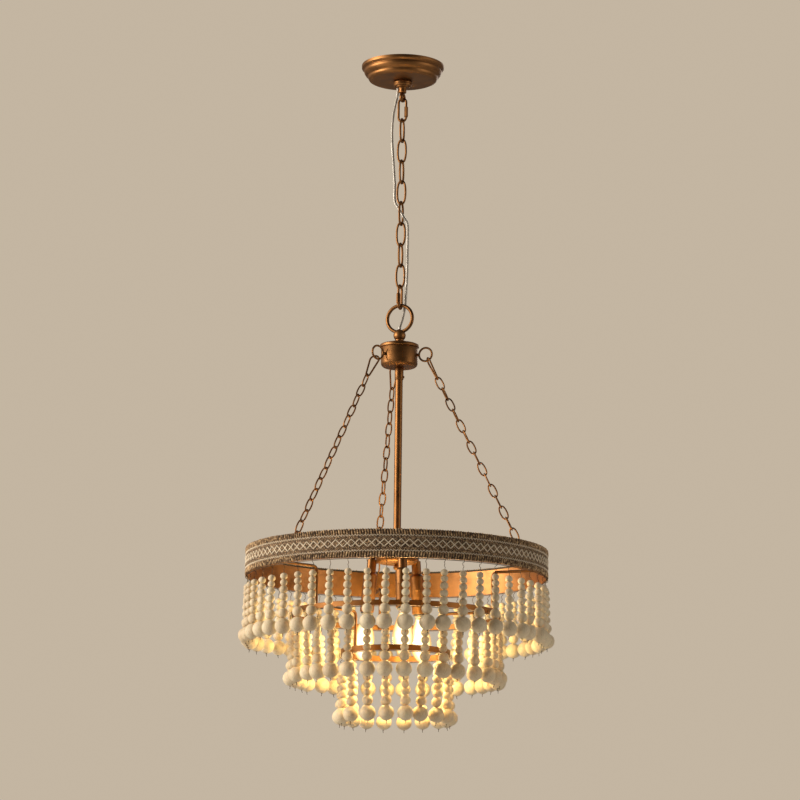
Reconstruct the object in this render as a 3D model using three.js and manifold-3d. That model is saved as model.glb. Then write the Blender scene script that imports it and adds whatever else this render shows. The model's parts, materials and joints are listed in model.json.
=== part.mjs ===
// A beaded chandelier that hangs from the ceiling on a chain: canopy, links, turned hub,
// three side chains, a lamp cluster and three rings with strands of wooden beads.
// Millimetres, +Z up. The origin is the middle of the mounting strap's top face.
import * as THREE from "three";
import { mergeVertices } from "three/addons/utils/BufferGeometryUtils.js";
import Module from "manifold-3d";

const wasm = await Module();
wasm.setup();

// Driving sizes
const overallRadius = 250;
const touchGap = 0.3;
const overrun = 4;
const armCount = 3;
const chainAzimuth = 99.5;
const socketAzimuth = 42;
const fullTurn = 360;

// Finishes taken from the photograph
const finishes = {
  brass: { color: 0x8a5a2c, roughness: 0.42, metalness: 0.85 },
  paleMetal: { color: 0x9c958c, roughness: 0.35, metalness: 0.9 },
  black: { color: 0x1c1714, roughness: 0.6, metalness: 0 },
  glass: { color: 0xffe2b0, roughness: 0.15, metalness: 0 },
  yarn: { color: 0x8d7d6c, roughness: 0.95, metalness: 0 },
  wood: { color: 0xcdb795, roughness: 0.7, metalness: 0 },
  cord: { color: 0xa39b90, roughness: 0.4, metalness: 0.1 },
};

// Leaves positions only, welds them, drops closed-up triangles and turns the faces outward
function clean(geometry) {
  const bare = new THREE.BufferGeometry();
  bare.setAttribute("position", geometry.getAttribute("position").clone());
  if (geometry.index) bare.setIndex(geometry.index.clone());
  const welded = mergeVertices(bare);
  const corners = welded.index.array;
  const point = [0, 1, 2].map(() => new THREE.Vector3());
  const position = welded.getAttribute("position");
  const kept = [];
  let volume = 0;
  for (let i = 0; i < corners.length; i += 3) {
    const [a, b, c] = [corners[i], corners[i + 1], corners[i + 2]];
    if (a === b || b === c || c === a) continue;
    kept.push(a, b, c);
    point.forEach((p, k) => p.fromBufferAttribute(position, corners[i + k]));
    volume += point[0].dot(point[1].clone().cross(point[2]));
  }
  if (volume < 0) kept.reverse();
  welded.setIndex(kept);
  return welded;
}

function solidOf(geometry) {
  const closed = clean(geometry);
  const vertProperties = new Float32Array(closed.getAttribute("position").array);
  const triVerts = new Uint32Array(closed.index.array);
  return new wasm.Manifold(new wasm.Mesh({ numProp: 3, vertProperties, triVerts }));
}

function geometryOf(solid) {
  const mesh = solid.getMesh();
  const geometry = new THREE.BufferGeometry();
  geometry.setAttribute("position", new THREE.BufferAttribute(mesh.vertProperties, 3));
  geometry.setIndex(new THREE.BufferAttribute(mesh.triVerts, 1));
  return geometry;
}

function join(geometries) {
  const solids = geometries.map(solidOf);
  return geometryOf(solids.reduce((whole, solid) => whole.add(solid)));
}

function cut(geometry, tools) {
  return geometryOf(tools.map(solidOf).reduce((left, tool) => left.subtract(tool), solidOf(geometry)));
}

// A turned shape about Z from a profile of radius and height
function turned(profile, sides) {
  const outline = profile.map(([radius, height]) => new THREE.Vector2(radius, height));
  return new THREE.LatheGeometry(outline, sides).rotateX(Math.PI / 2);
}

// A round bar along Z from one height to another
function bar(diameter, top, bottom, sides) {
  const middle = (top + bottom) / 2;
  const shape = new THREE.CylinderGeometry(diameter / 2, diameter / 2, top - bottom, sides);
  return shape.rotateX(Math.PI / 2).translate(0, 0, middle);
}

// A round bar along X
function crossBar(diameter, start, end, height, sides) {
  const shape = new THREE.CylinderGeometry(diameter / 2, diameter / 2, end - start, sides);
  return shape.rotateZ(Math.PI / 2).translate((start + end) / 2, 0, height);
}

// A ring of round wire in the XZ plane
function wireRing(centreRadius, wire, sides, steps) {
  return new THREE.TorusGeometry(centreRadius, wire / 2, sides, steps).rotateX(Math.PI / 2);
}

// A closed link in the XZ plane about the origin; its two ends may differ in width
function wireLink({ length, topWidth, bottomWidth, wire, sides, endSteps }) {
  const topBend = (topWidth - wire) / 2;
  const bottomBend = (bottomWidth - wire) / 2;
  const topCentre = (length - topWidth) / 2;
  const bottomCentre = (bottomWidth - length) / 2;
  const taper = Math.asin((topBend - bottomBend) / (topCentre - bottomCentre));
  const ends = [
    { bend: topBend, centre: topCentre, from: -taper, sweep: Math.PI + 2 * taper },
    { bend: bottomBend, centre: bottomCentre, from: Math.PI + taper, sweep: Math.PI - 2 * taper },
  ];
  const stations = [];
  for (const { bend, centre, from, sweep } of ends) {
    for (let k = 0; k <= endSteps; k++) {
      const angle = from + (sweep * k) / endSteps;
      const out = [Math.cos(angle), Math.sin(angle)];
      stations.push({ out, at: [bend * out[0], centre + bend * out[1]] });
    }
  }
  const places = [];
  const faces = [];
  stations.forEach(({ out, at }, row) => {
    const next = (row + 1) % stations.length;
    for (let k = 0; k < sides; k++) {
      const angle = Math.PI + (2 * Math.PI * k) / sides;
      const reach = (wire / 2) * Math.cos(angle);
      places.push(at[0] + reach * out[0], (wire / 2) * Math.sin(angle), at[1] + reach * out[1]);
      const side = (k + 1) % sides;
      const [a, b, c, d] = [row * sides + k, next * sides + k, next * sides + side, row * sides + side];
      faces.push(a, b, c, a, c, d);
    }
  });
  const geometry = new THREE.BufferGeometry();
  geometry.setAttribute("position", new THREE.Float32BufferAttribute(places, 3));
  geometry.setIndex(faces);
  return geometry;
}

// A route of straight runs with rounded corners, as stations for a bent rod
class BentRoute extends THREE.Curve {
  constructor(corners, bendRadius, bendSteps) {
    super();
    this.stations = [corners[0]];
    for (let i = 1; i < corners.length - 1; i++) {
      const back = corners[i - 1].clone().sub(corners[i]).normalize();
      const ahead = corners[i + 1].clone().sub(corners[i]).normalize();
      const start = corners[i].clone().addScaledVector(back, bendRadius);
      const end = corners[i].clone().addScaledVector(ahead, bendRadius);
      const bend = new THREE.QuadraticBezierCurve3(start, corners[i], end);
      this.stations.push(...bend.getPoints(bendSteps));
    }
    this.stations.push(corners[corners.length - 1]);
  }
  get steps() {
    return this.stations.length - 1;
  }
  getPointAt(share) {
    return this.stations[Math.round(share * this.steps)].clone();
  }
  getTangentAt(share) {
    const here = Math.round(share * this.steps);
    const before = this.stations[Math.max(here - 1, 0)];
    const after = this.stations[Math.min(here + 1, this.steps)];
    return after.clone().sub(before).normalize();
  }
}

function roundSection(diameter, sides) {
  const points = [];
  for (let k = 0; k < sides; k++) {
    const angle = (2 * Math.PI * k) / sides;
    points.push(new THREE.Vector2(Math.cos(angle), Math.sin(angle)).multiplyScalar(diameter / 2));
  }
  return new THREE.Shape(points);
}

function bentRod(corners, bendRadius, diameter, sides, bendSteps) {
  const extrudePath = new BentRoute(corners, bendRadius, bendSteps);
  const section = roundSection(diameter, sides);
  return new THREE.ExtrudeGeometry(section, { steps: extrudePath.steps, extrudePath, bevelEnabled: false });
}

// How near the axis the flats of a turned wall of so many sides come
function flatOf(radius, sides) {
  return radius * Math.cos(Math.PI / sides);
}

const chandelier = new THREE.Group();

function addPiece(name, geometry, finish, parent = chandelier) {
  const shape = clean(geometry);
  shape.computeVertexNormals();
  const mesh = new THREE.Mesh(shape, new THREE.MeshStandardMaterial(finishes[finish]));
  mesh.name = name;
  parent.add(mesh);
  return mesh;
}

// A group turned about Z, with a second one inside it at a place, leaning outward
function spoke(azimuth, radius, height, lean) {
  const turn = new THREE.Group();
  turn.rotation.z = THREE.MathUtils.degToRad(azimuth);
  const seat = new THREE.Group();
  seat.position.set(radius, 0, height);
  seat.rotation.y = -lean;
  turn.add(seat);
  chandelier.add(turn);
  return { turn, seat };
}

function azimuthOf(first, index) {
  return first + (fullTurn / armCount) * index;
}

// Mounting strap with a threaded boss, and the nipple screwed up into it
const strap = { length: 100, width: 20, thickness: 2.5, bossDiameter: 16, bossHeight: 8 };
const nipple = { diameter: 9.6, length: 28, clearance: 0.3 };
const nippleHole = nipple.diameter + 2 * nipple.clearance;
const nippleTop = -strap.thickness - touchGap;
const nippleBottom = nippleTop - nipple.length;
const nippleSides = 10;
{
  const plate = new THREE.BoxGeometry(strap.length, strap.width, strap.thickness);
  plate.translate(0, 0, -strap.thickness / 2);
  const bossBottom = -strap.thickness - strap.bossHeight;
  const boss = bar(strap.bossDiameter, -strap.thickness / 2, bossBottom, nippleSides);
  const hole = bar(nippleHole, -strap.thickness, bossBottom - overrun, nippleSides);
  addPiece("mounting_strap", cut(join([plate, boss]), [hole]), "paleMetal");
  addPiece("threaded_nipple", bar(nipple.diameter, nippleTop, nippleBottom, nippleSides), "paleMetal");
}

// Canopy: a spun bowl with two ridges, open to the ceiling, held up by a ring nut
const canopy = { radius: 70, depth: 27, wall: 1.5, sides: 18 };
const canopyShares = [
  [1, 0],
  [1, 0.185],
  [0.94, 0.27],
  [0.94, 0.46],
  [0.9, 0.62],
  [0.85, 0.7],
  [0.84, 0.84],
  [0.75, 1],
];
const loopBase = { diameter: 23, height: 18.5, top: 20, clearance: 0.4 };
const baseHole = loopBase.diameter / 2 + loopBase.clearance;
const collar = { diameter: 32, height: 9, edge: 1.2, sides: 16 };
const collarTop = -canopy.depth - touchGap;
const collarBottom = collarTop - collar.height;
{
  const inner = canopy.radius - canopy.wall;
  const depth = canopy.depth - canopy.wall;
  const outside = canopyShares.map(([r, z]) => [canopy.radius * r, -canopy.depth * z]);
  const inside = canopyShares.map(([r, z]) => [inner * r, -depth * z]).reverse();
  const rim = outside[0];
  const profile = [...outside, [baseHole, -canopy.depth], [baseHole, -depth], ...inside, rim];
  addPiece("canopy", turned(profile, canopy.sides), "brass");

  const radius = collar.diameter / 2;
  const nut = [
    [baseHole, collarTop],
    [radius - collar.edge, collarTop],
    [radius, collarTop - collar.edge],
    [radius, collarBottom + collar.edge],
    [radius - collar.edge, collarBottom],
    [baseHole, collarBottom],
    [baseHole, collarTop],
  ];
  addPiece("canopy_collar", turned(nut, collar.sides), "brass");
}

// Everything that hangs from the canopy on its own hooks is turned a little about the vertical
const suspensionTurn = THREE.MathUtils.degToRad(-24);
const suspension = new THREE.Group();
suspension.rotation.z = suspensionTurn;
chandelier.add(suspension);

// Loop: a round base on the nipple, a thinner stem and a stout ring below it
const loop = { wire: 4, widthScale: 1.5, holeDiameter: 9, sink: 1, sides: 6, steps: 16 };
const loopStem = { diameter: 13, height: 9.5, sides: 12 };
const loopBaseBottom = -loopBase.top - loopBase.height;
const loopStemBottom = loopBaseBottom - loopStem.height;
const loopCentreRadius = (loop.holeDiameter + loop.wire) / 2;
const loopCentre = loopStemBottom + loop.sink - loopCentreRadius - loop.wire / 2;
const loopBarTop = loopCentre - loop.holeDiameter / 2;
const loopBarCentre = loopBarTop - loop.wire / 2;
{
  const base = bar(loopBase.diameter, -loopBase.top, loopBaseBottom, canopy.sides);
  const bore = bar(nippleHole, -loopBase.top + overrun, nippleBottom - touchGap, nippleSides);
  const stemTop = loopBaseBottom + loop.sink;
  const stem = bar(loopStem.diameter, stemTop, loopStemBottom, loopStem.sides);
  const ring = wireRing(loopCentreRadius, loop.wire, loop.sides, loop.steps);
  ring.scale(1, loop.widthScale, 1).rotateZ(Math.PI / 2).translate(0, 0, loopCentre);
  addPiece("canopy_loop", join([cut(base, [bore]), stem, ring]), "brass", suspension);
}

// Quick links, whose gap in one side is closed by a threaded sleeve
const quickLink = { length: 44, width: 18, wire: 4, gap: 4.5, gapRise: 3, sides: 6, endSteps: 4 };
const sleeve = { diameter: 7, length: 18, clearance: 0.3, sides: 10 };
const plainLink = { length: 43.8, width: 18.6, wire: 3.6, count: 8, sides: 6, endSteps: 4 };

function ovalLink({ length, width, wire, sides, endSteps }) {
  return wireLink({ length, topWidth: width, bottomWidth: width, wire, sides, endSteps });
}

function addQuickLink(prefix, top, turn) {
  const holder = new THREE.Group();
  holder.position.z = top - quickLink.length / 2;
  holder.rotation.z = turn;
  suspension.add(holder);
  const side = (quickLink.width - quickLink.wire) / 2;
  const sideBottom = (quickLink.width - quickLink.length) / 2;
  const slit = new THREE.BoxGeometry(quickLink.wire + overrun, quickLink.wire + overrun, quickLink.gap);
  slit.translate(side, 0, sideBottom + quickLink.gapRise + quickLink.gap / 2);
  addPiece(`${prefix}_quick_link`, cut(ovalLink(quickLink), [slit]), "brass", holder);
  const inner = quickLink.wire / 2 + sleeve.clearance;
  const outer = sleeve.diameter / 2;
  const high = sideBottom + sleeve.length;
  const tube = [
    [inner, sideBottom],
    [outer, sideBottom],
    [outer, high],
    [inner, high],
    [inner, sideBottom],
  ];
  const tubeShape = turned(tube, sleeve.sides).translate(side, 0, 0);
  addPiece(`${prefix}_link_sleeve`, tubeShape, "brass", holder);
}

// Top of a link hung in the bottom of the one above it
function hungTop(upperBottom, upperWire, lowerWire) {
  return upperBottom + upperWire + touchGap + lowerWire;
}

const upperTop = loopBarTop + touchGap + quickLink.wire;
addQuickLink("upper", upperTop, 0);
const upperBottom = upperTop - quickLink.length;
let linkTop = hungTop(upperBottom, quickLink.wire, plainLink.wire);
for (let i = 0; i < plainLink.count; i++) {
  const link = addPiece(`chain_link_${i + 1}`, ovalLink(plainLink), "brass", suspension);
  link.position.z = linkTop - plainLink.length / 2;
  link.rotation.z = i % 2 ? 0 : Math.PI / 2;
  linkTop = hungTop(linkTop - plainLink.length, plainLink.wire, plainLink.wire);
}
const chainBottom = linkTop - touchGap - 2 * plainLink.wire;
const lowerTop = hungTop(chainBottom, plainLink.wire, quickLink.wire);
addQuickLink("lower", lowerTop, -Math.PI / 2);
const lowerBottom = lowerTop - quickLink.length;

// Hanging ring through the ball on top of the hub
const hangingRing = { diameter: 51.5, wire: 6, sides: 6, steps: 24 };
const ringCentreRadius = (hangingRing.diameter - hangingRing.wire) / 2;
const hangingTop = hungTop(lowerBottom, quickLink.wire, hangingRing.wire);
const hangingCentre = hangingTop - hangingRing.diameter / 2;
const hangingBar = hangingCentre - ringCentreRadius;
{
  const ring = wireRing(ringCentreRadius, hangingRing.wire, hangingRing.sides, hangingRing.steps);
  addPiece("hanging_ring", ring, "brass", suspension).position.z = hangingCentre;
}

// Ball with its neck, flange and stud, the domed cap and the hub body below them
const ball = { diameter: 20.7, rise: 4.5, neck: 14, flange: 24, flangeHeight: 3, depth: 23.5, sides: 14 };
const ballBore = { clearance: 0.6 };
const stud = { diameter: 8, length: 15, clearance: 0.3 };
const hubCap = { diameter: 65.4, height: 8, rimHeight: 4, rimWall: 3 };
const domeShares = [
  [0.72, 0.25],
  [0.92, 0.7],
];
const hub = { diameter: 61.6, height: 33.2, rounding: 7, sides: 20 };
const ballTop = hangingBar + ball.rise;
const ballCentre = ballTop - ball.diameter / 2;
const flangeBottom = ballTop - ball.depth;
const capTop = flangeBottom - touchGap;
const capBottom = capTop - hubCap.height;
const hubTop = capBottom - touchGap;
const hubBottom = hubTop - hub.height;
{
  const radius = ball.diameter / 2;
  const neck = ball.neck / 2;
  const flange = ball.flange / 2;
  const profile = [[0, ballTop]];
  const bands = 7;
  for (let k = 1; k < bands; k++) {
    const angle = (Math.PI * k) / bands;
    profile.push([radius * Math.sin(angle), ballCentre + radius * Math.cos(angle)]);
  }
  const shoulder = flangeBottom + ball.flangeHeight;
  profile.splice(-1, 1);
  profile.push([neck, ballCentre - Math.sqrt(radius * radius - neck * neck)], [neck, shoulder]);
  profile.push([flange, shoulder], [flange, flangeBottom], [stud.diameter / 2, flangeBottom]);
  profile.push([stud.diameter / 2, flangeBottom - stud.length], [0, flangeBottom - stud.length]);
  const boreWire = hangingRing.wire + 2 * ballBore.clearance;
  const bore = wireRing(ringCentreRadius, boreWire, hangingRing.sides, hangingRing.steps);
  bore.translate(0, 0, hangingCentre);
  addPiece("ring_boss", cut(turned(profile, ball.sides), [bore]), "brass", suspension);

  const hole = stud.diameter / 2 + stud.clearance;
  const rim = hubCap.diameter / 2;
  const rimTop = capBottom + hubCap.rimHeight;
  const dome = [
    [hole, capTop],
    [flange + hubCap.rimWall, capTop],
    ...domeShares.map(([r, z]) => [rim * r, capTop - (capTop - rimTop) * z]),
    [rim, rimTop],
    [rim, capBottom],
    [hole, capBottom],
    [hole, capTop],
  ];
  addPiece("hub_cap", turned(dome, hub.sides), "brass");
}

// Hub eyes screwed into the hub; the side chains hang from them
const hubEye = { diameter: 26, wire: 3.4, reach: 46.5, drop: 13.7, shankDiameter: 5, shankDepth: 9 };
const hubEyeFaces = { sides: 5, steps: 12 };
const hubEyeBend = (hubEye.diameter - hubEye.wire) / 2;
const hubEyeHeight = hubTop - hubEye.drop;
const centreRod = { diameter: 12.5, clearance: 0.3, seat: 9, sides: 12 };
const rodHole = centreRod.diameter + 2 * centreRod.clearance;
const rodTop = hubBottom + centreRod.seat;

// The rounded lower edge of a drum, from its wall round to its underside
function roundedFoot(radius, rounding, bottom) {
  const steps = 4;
  const points = [];
  for (let k = 0; k <= steps; k++) {
    const angle = (Math.PI / 2) * (k / steps);
    const inward = rounding * (1 - Math.cos(angle));
    points.push([radius - inward, bottom + rounding * (1 - Math.sin(angle))]);
  }
  return points;
}

{
  const radius = hub.diameter / 2;
  const studHole = stud.diameter / 2 + stud.clearance;
  const studDepth = flangeBottom - stud.length - touchGap;
  const foot = roundedFoot(radius, hub.rounding, hubBottom);
  const profile = [[0, studDepth], [studHole, studDepth], [studHole, hubTop], [radius, hubTop], ...foot];
  profile.push([0, hubBottom]);
  const shankHole = hubEye.shankDiameter + 2 * touchGap;
  const holes = [bar(rodHole, rodTop + touchGap, hubBottom - overrun, centreRod.sides)];
  for (let i = 0; i < armCount; i++) {
    const start = radius - hubEye.shankDepth - touchGap;
    const hole = crossBar(shankHole, start, radius + overrun, hubEyeHeight, centreRod.sides / 2);
    holes.push(hole.rotateZ(THREE.MathUtils.degToRad(azimuthOf(chainAzimuth, i))));
  }
  addPiece("hub_body", cut(turned(profile, hub.sides), holes), "brass");
}

// Top ring with its three flat eyes welded inside, then the trim sewn round it
const hoopSides = 60;
const trim = { thickness: 2.2, width: 44, overhang: 3 };
const topRing = { wall: 2, width: 42, drop: 354.8 };
const topRingEye = { wire: 3, centreRadius: 5.5, inset: 13, drop: 22, sides: 5, steps: 10, stubSides: 6 };
const trimInner = overallRadius - trim.thickness;
const topOuter = trimInner - touchGap;
const topInner = topOuter - topRing.wall;
const topRingTop = capTop - topRing.drop;
const topRingBottom = topRingTop - topRing.width;
const eyeRadius = topInner - topRingEye.inset;
const eyeHeight = topRingTop - topRingEye.drop;

function hoop(inner, outer, top, bottom, sides) {
  const section = [
    [inner, bottom],
    [outer, bottom],
    [outer, top],
    [inner, top],
    [inner, bottom],
  ];
  return turned(section, sides);
}

{
  const parts = [hoop(topInner, topOuter, topRingTop, topRingBottom, hoopSides)];
  for (let i = 0; i < armCount; i++) {
    const eye = wireRing(topRingEye.centreRadius, topRingEye.wire, topRingEye.sides, topRingEye.steps);
    eye.rotateX(Math.PI / 2).translate(eyeRadius, 0, eyeHeight);
    const stubStart = eyeRadius + topRingEye.centreRadius;
    const stubEnd = topInner + topRing.wall / 2;
    const stub = crossBar(topRingEye.wire, stubStart, stubEnd, eyeHeight, topRingEye.stubSides);
    const turn = THREE.MathUtils.degToRad(azimuthOf(chainAzimuth, i));
    parts.push(eye.rotateZ(turn), stub.rotateZ(turn));
  }
  addPiece("top_ring", join(parts), "brass");
  const trimTop = topRingTop + trim.overhang;
  addPiece("woven_trim", hoop(trimInner, overallRadius, trimTop, trimTop - trim.width, hoopSides), "yarn");
}

// Pear links and side chains, stretched from the hub's eyes to the top ring's eyes
const pear = { length: 44, topWidth: 19, bottomWidth: 10, wire: 3, slack: 0.2, sides: 6, endSteps: 4 };
const sideLink = { width: 13.5, wire: 2.6, count: 17, overlap: 0.7, endGap: 1.6, sides: 3, endSteps: 2 };
const sideTwist = THREE.MathUtils.degToRad(28);
{
  const across = eyeRadius - topRingEye.centreRadius - hubEye.reach;
  const down = hubEyeHeight - eyeHeight;
  const span = Math.hypot(across, down);
  const lean = Math.atan2(across, down);
  const reach = span - hubEyeBend;
  const pearTop = hubEye.wire / 2 + touchGap + pear.slack + pear.wire;
  const pearInnerEnd = pear.length - pearTop - pear.wire;
  const firstInner = pearInnerEnd - sideLink.endGap;
  const lastInner = reach + topRingEye.wire / 2 + sideLink.endGap;
  const pitch = (lastInner - firstInner + sideLink.overlap) / sideLink.count;
  const length = pitch - sideLink.overlap + 2 * sideLink.wire;
  const one = ovalLink({ ...sideLink, length });
  for (let i = 0; i < armCount; i++) {
    const azimuth = azimuthOf(chainAzimuth, i);
    const eyeSpoke = spoke(azimuth, 0, hubEyeHeight, 0);
    const eye = wireRing(hubEyeBend, hubEye.wire, hubEyeFaces.sides, hubEyeFaces.steps);
    eye.translate(hubEye.reach, 0, 0);
    const shankStart = hub.diameter / 2 - hubEye.shankDepth;
    const shankEnd = hubEye.reach - hubEyeBend;
    const shank = crossBar(hubEye.shankDiameter, shankStart, shankEnd, 0, centreRod.sides / 2);
    addPiece(`hub_eye_${i + 1}`, join([eye, shank]), "brass", eyeSpoke.seat);

    const startRadius = hubEye.reach + hubEyeBend * Math.sin(lean);
    const startHeight = hubEyeHeight - hubEyeBend * Math.cos(lean);
    const { seat } = spoke(azimuth, startRadius, startHeight, lean);
    const pearMesh = addPiece(`pear_link_${i + 1}`, wireLink(pear), "brass", seat);
    pearMesh.position.z = pearTop - pear.length / 2;
    pearMesh.rotation.z = Math.PI / 2 + sideTwist;
    const links = [];
    for (let k = 0; k < sideLink.count; k++) {
      const untwisted = sideTwist * (1 - k / sideLink.count);
      const link = one.clone().rotateZ((k % 2 ? Math.PI / 2 : 0) + untwisted);
      links.push(link.translate(0, 0, -firstInner - pitch * k - length / 2 + sideLink.wire));
    }
    addPiece(`side_chain_${i + 1}`, join(links), "brass", seat);
  }
}

// Coupler under the hub, centre rod and the cluster body that carries the three arms
const coupler = { wall: 0.8, height: 21, screwDiameter: 4, screwProud: 1.5, screwRise: 5, screwSides: 8 };
const cluster = { diameter: 68, height: 34, rise: 16.5, rounding: 7, edge: 1.5, rodSeat: 8, sides: 20 };
const knob = { diameter: 11, height: 10.5 };
const knobShares = [
  [0.6, 0],
  [0.6, 0.25],
  [1, 0.45],
  [1, 0.7],
  [0.55, 1],
];
const arm = { diameter: 10, depth: 4.5, clearance: 0.3, drop: 16.4, bend: 7, sides: 8, steps: 5 };
const socket = { reach: 44, drop: 38.5, lean: THREE.MathUtils.degToRad(5.5) };
const clusterTop = topRingTop + cluster.rise;
const armHeight = clusterTop - arm.drop;
const socketHeight = clusterTop - socket.drop;
{
  const inner = rodHole / 2;
  const outer = inner + coupler.wall;
  const top = hubBottom - touchGap;
  const low = top - coupler.height;
  const sleeveShape = hoop(inner, outer, top, low, centreRod.sides);
  const screwHeight = low + coupler.screwRise;
  const screwStart = inner + coupler.wall / 2;
  const screwEnd = outer + coupler.screwProud;
  const screw = crossBar(coupler.screwDiameter, screwStart, screwEnd, screwHeight, coupler.screwSides);
  addPiece("rod_coupler", join([sleeveShape, screw]), "brass");

  const rodBottom = clusterTop - cluster.rodSeat;
  addPiece("centre_rod", bar(centreRod.diameter, rodTop, rodBottom, centreRod.sides), "brass");

  const radius = cluster.diameter / 2;
  const clusterBottom = clusterTop - cluster.height;
  const seatFloor = rodBottom - touchGap;
  const body = [
    [0, seatFloor],
    [rodHole / 2, seatFloor],
    [rodHole / 2, clusterTop],
    [radius - cluster.edge, clusterTop],
    [radius, clusterTop - cluster.edge],
    ...roundedFoot(radius, cluster.rounding, clusterBottom),
    ...knobShares.map(([r, z]) => [(knob.diameter / 2) * r, clusterBottom - knob.height * z]),
    [0, clusterBottom - knob.height],
  ];
  const holes = [];
  for (let i = 0; i < armCount; i++) {
    const start = radius - arm.depth - touchGap;
    const holeDiameter = arm.diameter + 2 * arm.clearance;
    const hole = crossBar(holeDiameter, start, radius + overrun, armHeight, arm.sides * 2);
    holes.push(hole.rotateZ(THREE.MathUtils.degToRad(azimuthOf(socketAzimuth, i))));
  }
  addPiece("cluster_body", cut(turned(body, cluster.sides), holes), "brass");
}

// Socket arms, cups, lamp holders and bulbs, each set on its own leaning axis
const cup = {
  diameter: 23,
  wall: 1.5,
  shoulder: 12.5,
  bottom: 75,
  sides: 12,
  neck: 15.5,
  neckRise: 13,
  neckEnd: 9,
};
const holder = { diameter: 19, top: 14.5, bottom: 78, bore: 14.4, boreDepth: 26, sides: 12 };
const bulb = { cap: 13.6, capLength: 33, glass: 35, glassLength: 70, sides: 12 };
const glassShares = [
  [0.4, 0],
  [0.52, 0.1],
  [0.86, 0.34],
  [1, 0.55],
  [0.86, 0.77],
  [0.46, 0.95],
  [0, 1],
];
for (let i = 0; i < armCount; i++) {
  const { turn, seat } = spoke(azimuthOf(socketAzimuth, i), socket.reach, socketHeight, socket.lean);
  const armBore = arm.diameter + 2 * arm.clearance;
  const armEnd = cup.neckEnd - arm.clearance - cup.wall;
  const slope = new THREE.Vector3(Math.sin(socket.lean), 0, -Math.cos(socket.lean));
  const knee = new THREE.Vector3(socket.reach, 0, socketHeight);
  const end = knee.clone().addScaledVector(slope, armEnd);
  knee.addScaledVector(slope, (armHeight - socketHeight) / slope.z);
  const start = new THREE.Vector3(cluster.diameter / 2 - arm.depth, 0, armHeight);
  const rod = bentRod([start, knee, end], arm.bend, arm.diameter, arm.sides, arm.steps);
  addPiece(`socket_arm_${i + 1}`, rod, "brass", turn);

  const boreEnd = armEnd + touchGap;
  const hollow = cup.diameter / 2 - cup.wall;
  const cupShape = [
    [0, -boreEnd],
    [armBore / 2, -boreEnd],
    [armBore / 2, cup.neckRise],
    [cup.neck / 2, cup.neckRise],
    [cup.neck / 2, -cup.neckEnd],
    [cup.diameter / 2, -cup.shoulder],
    [cup.diameter / 2, -cup.bottom],
    [hollow, -cup.bottom],
    [hollow, -cup.shoulder - cup.wall / 2],
    [0, -cup.shoulder - cup.wall / 2],
  ];
  addPiece(`socket_cup_${i + 1}`, turned(cupShape, cup.sides), "brass", seat);

  const boreTop = holder.bottom - holder.boreDepth;
  const holderShape = [
    [0, -holder.top],
    [holder.diameter / 2, -holder.top],
    [holder.diameter / 2, -holder.bottom],
    [holder.bore / 2, -holder.bottom],
    [holder.bore / 2, -boreTop],
    [0, -boreTop],
  ];
  addPiece(`lamp_holder_${i + 1}`, turned(holderShape, holder.sides), "black", seat);

  const bulbTop = boreTop + touchGap;
  const glassTop = bulbTop + bulb.capLength;
  const bulbShape = [
    [0, -bulbTop],
    [bulb.cap / 2, -bulbTop],
    [bulb.cap / 2, -glassTop],
    ...glassShares.map(([r, z]) => [(bulb.glass / 2) * r, -glassTop - bulb.glassLength * z]),
  ];
  addPiece(`bulb_${i + 1}`, turned(bulbShape, bulb.sides), "glass", seat);
}

// Middle and bottom rings, stepped inward and down, on bent rods
const strapWall = 2;
const middleRing = { radius: 172, width: 9, drop: 57, sides: 48 };
const bottomRing = { radius: 90, width: 9.5, drop: 53, sides: 36 };
const bracket = { diameter: 5, bend: 9, sides: 6, bendSteps: 3, foot: 4 };
const middleTop = topRingBottom - middleRing.drop;
const middleBottom = middleTop - middleRing.width;
const bottomTop = middleBottom - bottomRing.drop;
const bottomBottom = bottomTop - bottomRing.width;
{
  const middleInner = middleRing.radius - strapWall;
  const bottomInner = bottomRing.radius - strapWall;
  const middleHoop = hoop(middleInner, middleRing.radius, middleTop, middleBottom, middleRing.sides);
  const bottomHoop = hoop(bottomInner, bottomRing.radius, bottomTop, bottomBottom, bottomRing.sides);
  addPiece("middle_ring", middleHoop, "brass");
  addPiece("bottom_ring", bottomHoop, "brass");
  const half = bracket.diameter / 2;
  const upperLeg = flatOf(middleInner, middleRing.sides) - touchGap - half;
  const lowerLeg = flatOf(bottomInner, bottomRing.sides) - touchGap - half;
  const upperStart = flatOf(topInner, hoopSides) - touchGap;
  const lowerStart = upperLeg - half - touchGap;
  const upperHeight = topRingBottom + bracket.foot;
  const lowerHeight = middleTop - middleRing.width / 2;
  const steps = [
    { name: "upper_bracket", from: upperStart, level: upperHeight, leg: upperLeg, end: middleBottom },
    { name: "lower_bracket", from: lowerStart, level: lowerHeight, leg: lowerLeg, end: bottomBottom },
  ];
  for (const { name, from, level, leg, end } of steps) {
    for (let i = 0; i < armCount; i++) {
      const { turn } = spoke(azimuthOf(chainAzimuth, i), 0, 0, 0);
      const wallEnd = new THREE.Vector3(from, 0, level);
      const corner = new THREE.Vector3(leg, 0, level);
      const corners = [wallEnd, corner, new THREE.Vector3(leg, 0, end)];
      const rod = bentRod(corners, bracket.bend, bracket.diameter, bracket.sides, bracket.bendSteps);
      addPiece(`${name}_${i + 1}`, rod, "brass", turn);
    }
  }
}

// Strands of wooden beads, hung by thin wire from a hanging wire under each ring
const beads = { small: 10, middle: 12, large: 16, ball: 25, wire: 1.8, hookDrop: 16.5, sides: 3 };
const beadRow = [
  beads.small,
  beads.small,
  beads.middle,
  beads.middle,
  beads.middle,
  beads.large,
  beads.ball,
];
const hangingWire = { diameter: 2.4, sides: 3 };
const beadNeckShare = 0.42;

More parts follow.
